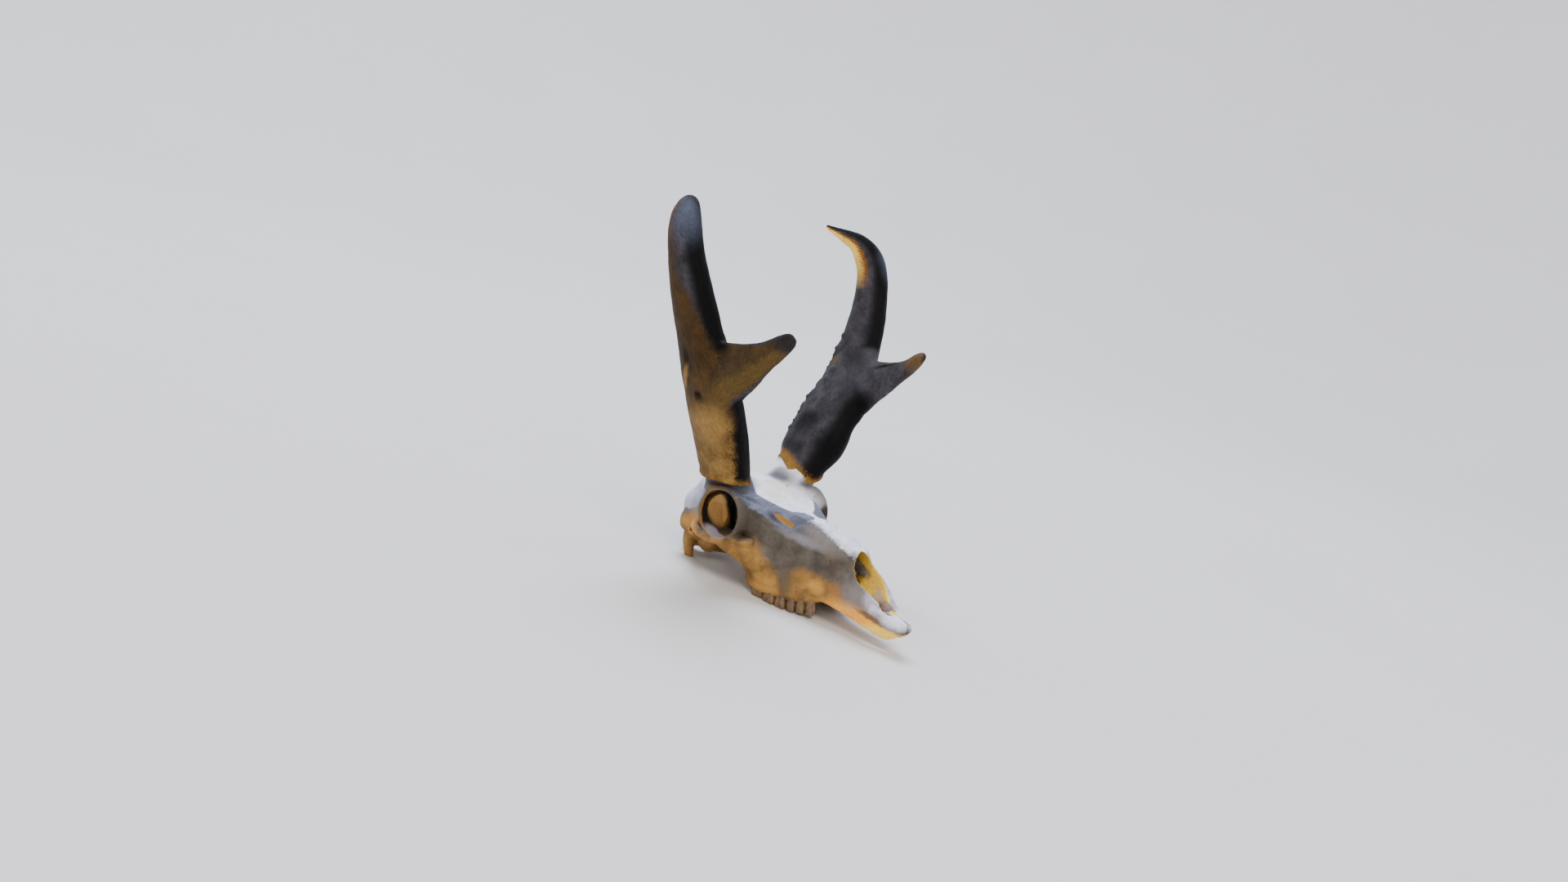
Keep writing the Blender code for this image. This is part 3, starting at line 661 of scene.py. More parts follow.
hornForms = {
    "shaft": [
        (40, 205, 92, 19.5, 28), (52, 202, 118, 20, 29), (66, 198, 149, 20.5, 33), (84, 193, 182, 20, 35),
        (102, 189, 215, 18, 33), (118, 190, 251, 16, 27), (131, 193, 287, 15.5, 23.5),
        (139, 197, 319, 15, 19.5), (140.5, 201, 344, 14, 17.5), (136, 207, 361, 12.5, 15.5),
        (127, 214, 372, 10, 11), (113, 224, 379, 6, 7), (96, 236, 386, 2, 2.4),
    ],
    "prong": [
        (103, 190, 214, 9, 24), (105, 169, 219, 12, 31), (105, 148, 225, 11, 23), (104, 123, 236.5, 9, 13.5),
        (102, 105, 247, 7.5, 9.5), (101, 95, 254, 6.2, 7), (101, 89.5, 257, 3.6, 4.2),
    ],
    "prongLean": 0.45,
    # y and z along the lower edge of the grey back of the prong
    "prongBack": ((190, 261), (172, 253), (160, 248), (139, 244.5), (119, 246.5), (103, 253), (80, 263)),
    "fork": (161.0, 252.5),             # y and z where its three lengths meet
    "forkFall": 0.22,                   # slope of the cut below the tip
    "prongHeel": (147.0, 196.0),        # where the cut between prong and shaft comes out in front
    "gap": 0.04,                        # between its lengths
    "rightHookFall": (2, 4, 8, 13),     # the right horn's hook is the lower of the two
    "prongStart": 150,                  # where the prong leaves the shaft, along its middle line
    "prongBlend": (0.35, 0.5),          # how early and over what share of its width it takes over
    # layers of noise: height, size of the lumps, seed
    "rough": ((0.4, 14.0, 4.0), (0.15, 5.0, 6.0)),
    "fibres": ((0.25, 1.0, 2.0),),
    "fibreScale": (0.5, 0.5, 0.045),    # drawn out along the horn
    "skirtRough": ((0.9, 3.2, 9.0),),
    "skirt": (7.0, 0.9),                # height and overhang of the ragged rim
    "skirtDrop": 4,                     # how far below the cut it still swells
    # how far the rim rises over the plane of the cut: degrees round the horn from outwards to behind, rise
    "rim": {"Left": ((-148, -8), (-118, -9.7), (-99, -7), (-84, -2), (-70, 4), (-60, 8), (62, 4), (113, 4),
                     (150, 4)),
            "Right": ((-113, -3), (-87, 0.5), (-68, 3.5), (-40, 6.5), (-19, 7.5), (29, 3.6), (67, 2),
                      (118, 0))},
    "rimLean": (0.45, 0.13),            # how the horn leans outwards and forwards there
    "rimReach": 30.0,                   # how far up the horn is shifted with its rim
}
hornStrokes = {
    "slim base": ((46, 228, 132), (14, 16, 26), -2.6),
    "pit": ((113, 190, 193), (6.5, 6, 8), -3.4),
    "upper pit": ((128, 196, 227), (9, 7, 13), -1.8),
    "ridge over the pit": ((120, 205, 205), (9, 7, 15), 1.8),
    "hollow under the fork": ((104, 160, 228), (16, 16, 20), -1.2),
    "swelling": ((84, 186, 160), (30, 30, 26), 0.8),
    "dimple": ((86, 206, 150), (10, 12, 9), -0.7),
    "inner dimple": ((56, 198, 176), (10, 12, 12), -1.3),
    "inner hollow": ((76, 196, 226), (12, 14, 16), -0.9),
    "groove under the hook": ((110, 218, 366), (16, 14, 7), -2.2),
    "flat of the prong's back": ((103, 118, 252), (14, 40, 7), -1.1),
}
# what only the left horn has
leftHornStrokes = {
    "full front": ((92, 158, 200), (24, 24, 36), 4.5),
    "full base": ((74, 166, 150), (24, 24, 44), 5.5),
    "first lump": ((113.7, 208.3, 270.6), (8, 7, 6), 2.2),
    "second lump": ((106.7, 206.1, 255.9), (8, 8, 7), 2.6),
    "third lump": ((93.4, 202.1, 233), (7, 8, 7), 2.0),
    "fourth lump": ((88.5, 204.6, 222), (7, 7, 6), 1.8),
    "hollow before the fork": ((99.5, 178.5, 246.1), (10, 13, 12), -1.6),
}
hornLines = {
    "front edge": ([(60, 176, 128), (76, 160, 160), (92, 156, 190)], 7.0, 0.6),
    "back edge": ([(90, 226, 190), (116, 218, 240), (132, 214, 290), (138, 218, 340)], 6.0, 0.8),
    "outer edge of the prong's back": ([(116, 160, 249), (115, 139, 245), (112, 119, 249), (108, 102, 256)],
                                       3.4, 0.9),
    "inner edge of the prong's back": ([(100, 150, 250), (97, 132, 250), (96, 112, 254), (96, 100, 259)],
                                       3.4, 0.9),
}
# ragged flaps along the back edge: their line and its reach, height, and noise lifted by the spread
burrs = {"line": [(62, 222, 168), (80, 222, 204), (98, 216, 236), (112, 210, 262)], "reach": 7.0, "height": 5.0,
         "flaps": ((1.0, 6.5, 7.0), (0.4, 2.2, 3.0)), "spread": 0.1}


def strandOf(points, rows):
    # where each point lies about the middle line of its length of horn: offset across and place along
    # it in mm, direction outwards as shares of the half sizes there, and how far out by the same shares
    path = curveThrough(rows, perSpan=12)
    steps = np.diff(path[:, :3], axis=0)
    lengths = np.linalg.norm(steps, axis=1)
    start = np.concatenate([[0.0], np.cumsum(lengths)])
    strands = np.zeros((len(points), 3))
    sizes = np.ones((len(points), 2))
    nearest = np.full(len(points), 1e9)
    for i, (a, step, length) in enumerate(zip(path, steps, lengths)):
        ahead = step / length
        side = np.array([1.0, 0, 0]) - ahead * ahead[0]
        side /= np.linalg.norm(side)
        across = np.cross(ahead, side)
        t = np.clip((points - a[:3]) @ ahead, 0, length)
        gap = points - a[:3] - t[:, None] * ahead
        far = np.linalg.norm(gap, axis=1)
        better = far < nearest
        nearest[better] = far[better]
        strands[better] = np.stack([gap @ side, gap @ across, start[i] + t], axis=1)[better]
        sizes[better] = a[3:]
    facing = strands[:, :2] / sizes
    out = np.linalg.norm(facing, axis=1)
    return strands, facing / np.maximum(out, 1e-6)[:, None], out


def makeHorn(side):
    sign = sides[side]
    forms = []
    for name, lean in (("shaft", 0.0), ("prong", hornForms["prongLean"])):
        rows = [list(row) for row in hornForms[name]]
        if side == "Right" and name == "shaft":
            for row, fall in zip(rows[-4:], hornForms["rightHookFall"]):
                row[2] -= fall
        rows = rows if side == "Left" else mirrored(rows)
        forms.append(loft(name, sweptRings(rows, count=36, lean=sign * lean)))
    horn = relaxed(fused("horn" + side, forms, hornGrain), times=16)
    mirror = np.array([sign, 1, 1])
    points = pointsOf(horn) * mirror
    shaftStrands, shaftFacing, shaftOut = strandOf(points, hornForms["shaft"])
    prongStrands, prongFacing, prongOut = strandOf(points, hornForms["prong"])
    lead, blend = hornForms["prongBlend"]
    onProng = eased((shaftOut - prongOut + lead) / blend)
    prongStrands[:, 2] += hornForms["prongStart"]
    strands = shaftStrands * (1 - onProng[:, None]) + prongStrands * onProng[:, None]
    point, up = sheathPlane(side)
    up = np.array(up) / np.linalg.norm(up)
    height = (points * mirror - point) @ up
    keptOn(horn, "strand", strands)
    keptOn(horn, "shaftFacing", np.column_stack([shaftFacing, height]))
    keptOn(horn, "prongFacing", np.column_stack([prongFacing, onProng]))
    backEdge = np.array(sorted(hornForms["prongBack"]), float)
    keptOn(horn, "overBack", points[:, 2] - np.interp(points[:, 1], *backEdge.T))
    pushed(horn, hornStrokes if side == "Right" else hornStrokes | leftHornStrokes)
    pushed(horn, hornLines)
    points = pointsOf(horn) * mirror
    skirtHeight, overhang = hornForms["skirt"]
    skirt = eased(1.0 - height / skirtHeight) * (height > -hornForms["skirtDrop"])
    flaps = np.maximum(0, roughAt(points, burrs["flaps"]) + burrs["spread"])
    burr = eased(1.0 - spanTo(points, burrs["line"]) / burrs["reach"]) * flaps
    out = (roughAt(strands * hornForms["fibreScale"], hornForms["fibres"]) + roughAt(points, hornForms["rough"])
           + skirt * (overhang + roughAt(points, hornForms["skirtRough"])) + burrs["height"] * burr)
    movePoints(horn, points * mirror + pointsOf(horn, "normal") * out[:, None])
    slicedBy(horn, point, -up)
    points = pointsOf(horn)
    height = (points - point) @ up
    across = points * mirror - hornForms["shaft"][1][:3]
    leanX, leanY = hornForms["rimLean"]
    turn = np.degrees(np.arctan2(across[:, 1] + leanY * across[:, 2], across[:, 0] - leanX * across[:, 2]))
    rise = np.interp(turn, *np.array(hornForms["rim"][side], float).T, period=360)
    movePoints(horn, points + up * (rise * eased(1.0 - height / hornForms["rimReach"]))[:, None])
    forkY, forkZ = hornForms["fork"]
    heelY, heelZ = hornForms["prongHeel"]
    above = Vector((0, hornForms["forkFall"], 1))
    ahead = Vector((0, heelZ - forkZ, forkY - heelY))
    pieces = {}
    for kind, cuts in (("Shaft", (above, ahead)), ("Prong", (above, -ahead)), ("Tip", (-above,))):
        piece = linked("horn" + kind + side, horn.data.copy())
        for normal in cuts:
            slicedBy(piece, (0, forkY, forkZ), normal, -hornForms["gap"] / 2)
        pieces[piece.name] = (largestOf(piece), f"horn_{kind.lower()}_{side.lower()}", f"horn_{kind.lower()}")
    bpy.data.objects.remove(horn)
    return pieces


# Materials

def linear(text):
    # an sRGB hex colour as linear red, green, blue and alpha
    values = [int(text[i:i + 2], 16) / 255 for i in (1, 3, 5)]
    return (*(v / 12.92 if v <= 0.04045 else ((v + 0.055) / 1.055) ** 2.4 for v in values), 1.0)


def addNode(tree, kind, inputs=(), out=None, **settings):
    # adds a node, sets its properties, and fills its inputs, in order or by name, with values, hex
    # colours or other nodes' outputs. It hands back its own output.
    node = tree.nodes.new("ShaderNode" + kind)
    if kind == "Mix":
        node.data_type = "RGBA"
    for name, value in settings.items():
        setattr(node, name, value)
    used = [socket for socket in node.inputs if socket.enabled]
    for name, value in inputs.items() if isinstance(inputs, dict) else enumerate(inputs):
        socket = used[name] if isinstance(name, int) else node.inputs[name]
        if isinstance(value, bpy.types.NodeSocket):
            tree.links.new(value, socket)
        else:
            socket.default_value = linear(value) if isinstance(value, str) else value
    return node.outputs[out] if out else next((socket for socket in node.outputs if socket.enabled), None)


def newMaterial(name):
    # an empty material, and what adds a node to it
    material = bpy.data.materials.new(name)
    material.use_nodes = True
    material.node_tree.nodes.clear()
    return material, partial(addNode, material.node_tree)


def skullPlaces(add):
    # Object coordinates turned back to the skull's own axes in millimetres, raw and folded to one side
    scaled = add("VectorMath", (add("TexCoord", out="Object"), 1 / mm), operation="SCALE")
    back = restTurn.inverted() @ (-Vector(rest["moved"]))
    raw = add("Mapping", {0: scaled, "Location": back, "Rotation": (rest["pitch"], 0.0, 0.0)})
    x, y, z = add("SeparateXYZ", (raw,)).node.outputs
    return raw, add("CombineXYZ", (add("Math", (x,), operation="ABSOLUTE"), y, z))


def frayed(add, place, size, amount):
    # the same places, shaken by noise so that no edge painted on them is smooth
    cloud = add("TexNoise", {0: place, "Scale": 1.0 / size, "Detail": 4.0, "Roughness": 0.6}, out="Color")
    shift = add("VectorMath", (cloud, (0.5, 0.5, 0.5)), operation="SUBTRACT")
    shift = add("VectorMath", (shift, amount), operation="SCALE")
    return add("VectorMath", (place, shift), operation="ADD")


def stainedAndLit(add, colour, place, stainsAndLight):
    # lays soft marks over a colour, both real stains and painted light and shade: middle, radii, hex colour,
    # strength, width of the edge, and the turn in degrees of one that lies aslant
    for middle, radii, hexColour, strength, edge, *turn in stainsAndLight.values():
        turn = [radians(value) for value in turn or (0, 0, 0)]
        local = add("Mapping", {0: place, "Location": middle, "Rotation": turn, "Scale": radii},
                    vector_type="TEXTURE")
        reach = add("VectorMath", (local,), operation="LENGTH")
        mask = add("MapRange", (reach, 1.0 + edge, 1.0 - edge, 0.0, strength), interpolation_type="SMOOTHSTEP")
        colour = add("Mix", (mask, colour, hexColour))
    return colour


def coated(add, colour, places, coats):
    # lays a coat over a colour inside each of a mesh's outlines, some of them painted light and shade, its
    # edge ragged like worn bone: light and dark colours, size of their patches, strength, size and depth of
    # the rags, softness
    for name, (light, dark, patch, strength, rag, depth, soft) in coats.items():
        inside = add("Attribute", out="Fac", attribute_name=name)
        torn = add("TexNoise", {0: places, "Scale": 1.0 / rag, "Detail": 3.0, "Roughness": 0.65})
        torn = add("MapRange", (torn, 0.3, 0.7, -depth, depth), clamp=False)
        edge = add("Math", (inside, torn), operation="ADD")
        mask = add("MapRange", (edge, -soft, soft, 0.0, strength), interpolation_type="SMOOTHSTEP")
        cloud = add("TexNoise", {0: places, "Scale": 1.0 / patch, "Detail": 5.0, "Roughness": 0.6})
        share = add("MapRange", (cloud, 0.38, 0.64))
        coat = add("Mix", (share, dark, light))
        colour = add("Mix", (mask, colour, coat))
    return colour


# the ochre of the lower skull is painted warm light from below
lowCoats = {
    "ochre": ("#a87b38", "#785728", 14.0, 0.96, 4.0, 2.0, 4.5),
}
# the pale coats of the top are pale bone under painted cool light from above, blue-white; the facet's blue-grey
# is painted shade
boneCoats = {
    "bleached": ("#eef2fc", "#c6cadd", 9.0, 0.97, 2.0, 1.5, 1.8),
    "frontal": ("#fbfcff", "#e0e4ef", 11.0, 0.97, 2.0, 1.2, 1.2),
    "facet": ("#6d7289", "#4d5163", 12.0, 0.95, 3.0, 0.7, 1.0),
    "lip": ("#d8d6e4", "#a8a3b0", 8.0, 0.92, 3.0, 1.6, 6.0),
}
boneStainsAndLight = {
    "dark before the eye": ((58, 170, 76), (12, 12, 18), "#4f463b", 0.75, 0.55),
    "dark under the eye": ((58, 168, 64), (8, 10, 5), "#2f261d", 0.8, 0.5),
    "sheen along the cheek": ((29, 119, 70), (9, 32, 4), "#85838a", 0.75, 0.7, 16, 0, 0),
    "pale under the nose bones": ((17, 98, 70), (8, 26, 8), "#8b8581", 0.5, 0.6, 14, 0, 0),
    "brown above the teeth": ((38, 120, 2), (16, 40, 11), "#58421f", 0.85, 0.55),
    "brown wedge": ((38, 120, 24), (10, 6, 14), "#635035", 0.7, 0.6),
    # painted warm light from below on the lower cheek
    "bright lower cheek": ((42, 146, 17), (12, 15, 11), "#c48f42", 0.75, 0.6),
    "dark of the front lobe": ((31, 106, 35), (9, 10, 8), "#89622e", 0.6, 0.6),
    "dark before the lobe": ((23, 79, 27), (8, 6, 7), "#89622e", 0.5, 0.6),
    # this and the next two: painted warm light from below, brightest under the lip
    "bright front lobe": ((27, 92, 28), (8, 8, 6), "#ca933f", 0.75, 0.6, 16, 0, 0),
    "bright under the lip": ((15, 50, 6), (13, 37, 12), "#ffb03a", 0.92, 0.45, 12, 0, 0),
    "gold lip edge": ((11, 20, -2), (9, 28, 6), "#ffd55c", 0.88, 0.4, 8, 0, 0),
    "rust on the lip": ((20, 70, 26), (4, 7, 9), "#a4683a", 0.5, 0.6, -30, 0, 0),
    "dark back of the cheek": ((44, 166, 30), (10, 10, 16), "#5c4420", 0.5, 0.6),
    "dark palate": ((0, 130, 24), (22, 60, 14), "#4d3d28", 0.6, 0.5),
}
paleStainsAndLight = {
    "pale yellow brow": ((14, 168, 104), (10, 14, 6), "#d8d4bd", 0.6, 0.6),
    "grey of the pedicle": ((28, 196, 116), (14, 16, 10), "#8e8d94", 0.7, 0.6),
    # this and the next: painted shadow of the horn over the outer brow
    "grey outer brow": ((54, 190, 112), (18, 26, 8), "#4a4b50", 0.8, 0.5),
    "charcoal by the sheath": ((58, 182, 109), (22, 12, 9), "#3b3b42", 0.8, 0.6),
    "grey front of the facet": ((20, 127, 80), (14, 9, 9), "#4b4d55", 0.7, 0.6),
    "grey behind the lip": ((17, 53, 27), (8, 14, 12), "#8f8781", 0.65, 0.7, 30, 0, 0),
    "gold rim of the orbit": ((73.5, 189, 82), (3.2, 28, 28), "#7a5c31", 0.7, 0.5),
    "brown over the orbit": ((70, 190, 108), (7, 16, 3.5), "#59452a", 0.7, 0.6),
    # this and the next: painted shade under the sheath's rim and along the slit's edge
    "dark under the sheath": ((64, 200, 113), (14, 24, 5), "#3a2e24", 0.8, 0.4),
    "dark edge of the slit": ((33, 146, 85), (6, 12, 5), "#3c3a48", 0.75, 0.6, 30, 0, 0),
    "brown spot": ((20, 80, 49), (5, 4, 7), "#4b3a32", 0.75, 0.6),
    "brown over the lip": ((19, 84, 60), (5, 8, 6), "#6a5b4e", 0.5, 0.6),
    "dark lip groove": ((15, 30, 10), (6, 20, 2.6), "#3b3633", 0.8, 0.5, 17, 0, 0),
    "grey of the lip front": ((9, 12, 6), (6, 10, 3), "#5b5c66", 0.7, 0.5, 10, 0, 0),
    "dark nose rim": ((12, 64, 62), (5, 3, 6), "#453f3c", 0.6, 0.5),
    "white tip": ((9, 8, 13), (10, 14, 8), "#e9edf9", 0.85, 0.5),
    # painted warm light from below on the braincase's cheek
    "ochre cheek of the braincase": ((48, 240, 62), (16, 26, 12), "#c88f42", 0.85, 0.5),
    "grey back of the crown": ((34, 250, 98), (22, 16, 20), "#b4bac9", 0.6, 0.6),
    "grey of the temple": ((42, 248, 79), (12, 18, 8), "#8d8380", 0.65, 0.7),
    "grey of the occiput": ((14, 271, 75), (32, 12, 8), "#8d8175", 0.7, 0.7),
}
# on the far side only: painted shade by the far horn and under its sheath, and pale, warm, yellow and speckled
# patches of the far brow
farStainsAndShade = {
    "pale far brow": ((48, 184, 106), (30, 34, 20), "#d0ced4", 0.92, 0.4),
    "shadow by the far horn": ((25, 199, 116), (9, 17, 9), "#39373e", 0.88, 0.7),
    "shadow under the far rim": ((47, 177, 112), (15, 6, 6), "#161514", 0.92, 0.6),
    "warm far pedicle": ((56, 190, 109), (14, 14, 13), "#aaa29c", 0.65, 0.7, 6.8, -6.1, -140.2),
    # this and the next: painted shade in the hollow by the far horn and under its sheath
    "grey hollow by the far horn": ((38, 208, 115.6), (14, 8, 9), "#75727a", 0.8, 0.7, 6.7, -5.9, -138.7),
    "dark under the far sheath": ((60, 186, 111.3), (14, 12, 4.5), "#6d6a68", 0.7, 0.6, 6.8, -6.1, -140.2),
    "yellow of the frontal": ((8, 184, 110), (14, 16, 9), "#dcd8bf", 0.7, 0.7),
    "speckled far brow": ((68, 177, 97), (16, 12, 16), "#6a6560", 0.88, 0.7, 6.9, -6.8, -140.8),
    "crevice in the far brow": ((62, 161, 84), (8, 6, 9), "#1c1613", 0.9, 0.4),
}
# the depth of the orbit, drawn out slantwise: painted shadow, with painted warm light in gold and a paler
# streak on the wall of the braincase behind; and marks inside the nose
depthStainsAndLight = {
    "dark depth": ((38, 218, 79), (22, 26, 29), "#160f09", 0.96, 0.2, 20.2, 8.0, 135.8),
    "golden back": ((41.4, 218, 80.5), (24, 10.8, 19.5), "#ae8040", 0.97, 0.25, 20.2, 8.0, 135.8),
    "grey scroll": ((11, 65, 43), (6, 6, 5), "#77706e", 0.8, 0.5),
    "grey nose floor": ((6, 50, 24), (7, 8, 5), "#8f8a8a", 0.7, 0.6),
    "lilac under the gold": ((7, 45, 28), (7, 13, 4.5), "#a09ba4", 0.8, 0.6, 43, 0, 0),
    "pale streak": ((38, 220, 90), (20, 4, 9), "#c29450", 0.6, 0.6, 20.2, 8.0, 135.8),
}
# inside the orbit, over the painted shadow of its walls: a lilac floor, painted cool light from above, and a
# golden roof, painted warm light from below
eyeStainsAndLight = {
    "brown rear wall": ((66, 222, 88), (10, 7, 18), "#5f4527", 0.9, 0.5),
    "lilac floor": ((62, 197, 60.5), (14, 22, 8), "#a8a1ad", 0.92, 0.4),
    "golden roof": ((66, 198, 105), (10, 18, 4), "#8a6531", 0.9, 0.5),
    "golden rim": ((71, 189, 82), (2.6, 40, 40), "#8f6a34", 0.85, 0.4),
}
# the strokes and pores are drawn coarser than real ones, mm, so that they show. The grey-brown of the
# sides is partly bone and partly painted shade, the nose's bright yellows are a painted glow of warm
# light, and the eye's near black is painted shadow
boneLook = {"side": "#3f3930", "warm": "#62594d", "strokeLength": 7.0, "strokeWidth": 0.55, "pore": 0.8,
            "poreColour": "#4c4845", "patch": 20.0, "slant": 0.55, "noseLight": "#ffe868",
            "noseDark": "#ffc444", "eye": "#1a120b", "slit": "#a87d3c"}


def makeBone():
    # dry, weathered bone: pale, with painted cool light making it blue-white on top, grey-brown on the sides,
    # partly from painted shade, and painted warm light making it ochre from below, in short strokes with fine
    # pores, which leaves it chalky with only a faint sheen
    material, add = newMaterial("weatheredBone")
    raw, folded = skullPlaces(add)
    soft = frayed(add, raw, size=11.0, amount=7.0)
    near = frayed(add, folded, size=9.0, amount=6.0)
    long, wide = boneLook["strokeLength"], boneLook["strokeWidth"]
    bent = add("Mapping", {0: soft, "Rotation": (boneLook["slant"], 0.0, 0.0), "Scale": (wide, long, wide)},
               vector_type="TEXTURE")
    stroke = add("TexNoise", {0: bent, "Scale": 1.0, "Detail": 3.0, "Roughness": 0.6})
    cloud = add("TexNoise", {0: soft, "Scale": 1 / boneLook["patch"], "Detail": 6.0, "Roughness": 0.65})
    pores = add("TexNoise", {0: raw, "Scale": 1 / boneLook["pore"], "Detail": 2.0})
    share = add("MapRange", (cloud, 0.35, 0.68))
    colour = add("Mix", (share, boneLook["side"], boneLook["warm"]))
    colour = stainedAndLit(add, coated(add, colour, soft, lowCoats), near, boneStainsAndLight)
    colour = stainedAndLit(add, coated(add, colour, soft, boneCoats), near, paleStainsAndLight)
    colour = stainedAndLit(add, colour, soft, farStainsAndShade)
    golden = add("MapRange", (stroke, 0.35, 0.7))
    nose = add("Mix", (golden, boneLook["noseDark"], boneLook["noseLight"]))
    eye = stainedAndLit(add, boneLook["eye"], near, eyeStainsAndLight)
    # the nose's walls take a bright yellow glow of painted warm light, and the orbit's walls painted shadow
    # with painted light
    for name, wall in (("noseWall", nose), ("eyeWall", eye), ("slitWall", boneLook["slit"])):
        colour = add("Mix", (add("Attribute", out="Fac", attribute_name=name), colour, wall))
    colour = stainedAndLit(add, colour, near, depthStainsAndLight)
    shade = add("MapRange", (stroke, 0.28, 0.72, 0.8, 1.18))
    colour = add("VectorMath", (colour, shade), operation="SCALE")
    speck = add("MapRange", (pores, 0.6, 0.74, 0.0, 0.3))
    colour = add("Mix", (speck, colour, boneLook["poreColour"]))
    matte = add("MapRange", (cloud, 0.3, 0.75, 0.52, 0.72))
    relief = add("Math", (stroke, pores), operation="ADD")
    bump = add("Bump", {"Height": relief, "Strength": 0.4, "Distance": 0.4 * mm})
    surface = add("BsdfPrincipled", {"Base Color": colour, "Roughness": matte, "Normal": bump, "IOR": 1.54,
                                     "Specular IOR Level": 0.22})
    add("OutputMaterial", (surface,))
    return material


# colours of the horn, some as light and dark patches; the golds outside and above and the hook's amber are
# painted warm light on near-black horn, the hook's light a painted highlight. Its fibres, mm, are drawn
# coarser than real ones, so that they show.
hornLook = {"patched": {"inner": ("#434145", "#282629"), "outer": ("#8c6c39", "#5a431e"),
                        "upper": ("#453116", "#30220d"), "prong": ("#48371f", "#342817"),
                        "prongBack": ("#3d3b40", "#28262b"), "rim": ("#91692b", "#5d431c")},
            "front": "#030203", "prongLow": "#523f1f", "hook": "#84521e", "hookLight": "#ffce5c",
            "fibreWidth": 0.85, "fibreLength": 13.0, "slant": -0.6, "patch": 15.0,
            # from and to which height the gold of painted warm light darkens, narrows to a strip, and the left
            # hook glows with painted light
            "darkens": (130.0, 218.0), "narrows": (244.0, 300.0), "glows": (322.0, 362.0)}
hornStainsAndLight = {
    "pit": ((113, 190, 193), (7, 5.5, 6), "#070503", 0.96, 0.6),
    "upper pit": ((128, 196, 227), (9, 7, 13), "#1a130b", 0.8, 0.6),
    "ridge over the pit": ((119, 207, 207), (10, 4, 16), "#a07b41", 0.6, 0.6, 30, 0, 0),
    "dark blotch": ((56, 199, 178), (13, 14, 12), "#0f0d10", 0.8, 0.6),
    "second blotch": ((50, 204, 150), (12, 12, 8), "#141215", 0.7, 0.6),
    # this and the next: painted cool light from above on the tip, and painted warm light on its back
    "blue tip": ((150, 190, 358), (12, 18, 22), "#4c5263", 0.75, 0.8),
    "gold back of the tip": ((150, 214, 330), (12, 7, 60), "#53391a", 0.8, 0.5),
    "rust along the hook": ((124, 226, 352), (9, 8, 16), "#6e451c", 0.75, 0.6),
    "rust down the back": ((122, 220, 322), (8, 8, 24), "#57391c", 0.7, 0.6),
    "blue burrs": ((98, 219, 240), (8, 9, 22), "#4c5560", 0.6, 0.6),
    "grey swell": ((88, 176, 226), (18, 20, 20), "#3d3c42", 0.5, 0.7),
    "umber over the rim": ((74, 214, 125), (15, 13, 10), "#544020", 0.65, 0.7),
    # painted warm light on the outside
    "gold of the outside": ((98, 186, 168), (12, 22, 22), "#a27d44", 0.5, 0.7),
}
# what only one horn has, the left one at first
oneHornStainsAndShade = {
    "grey far fork": ((112, 166, 246), (18, 19, 13), "#403f44", 0.97, 0.35),
    # painted shade in the hollow before the far fork
    "dark hollow before the far fork": ((99, 178, 246), (10, 13, 12), "#1b1a1d", 0.6, 0.7),
    "golden far burrs": ((99, 205, 243), (6, 7, 7), "#5d4a2e", 0.6, 0.6),
    "golden far prong tip": ((97, 98, 253), (14, 13, 12), "#5f4826", 0.85, 0.7),
    "dark end of the far prong": ((98, 86, 256), (12, 4.5, 12), "#1c1711", 0.85, 0.5),
    "dark near prong tip": ((-101, 94, 253), (14, 12, 12), "#1b1b20", 0.88, 0.5),
}


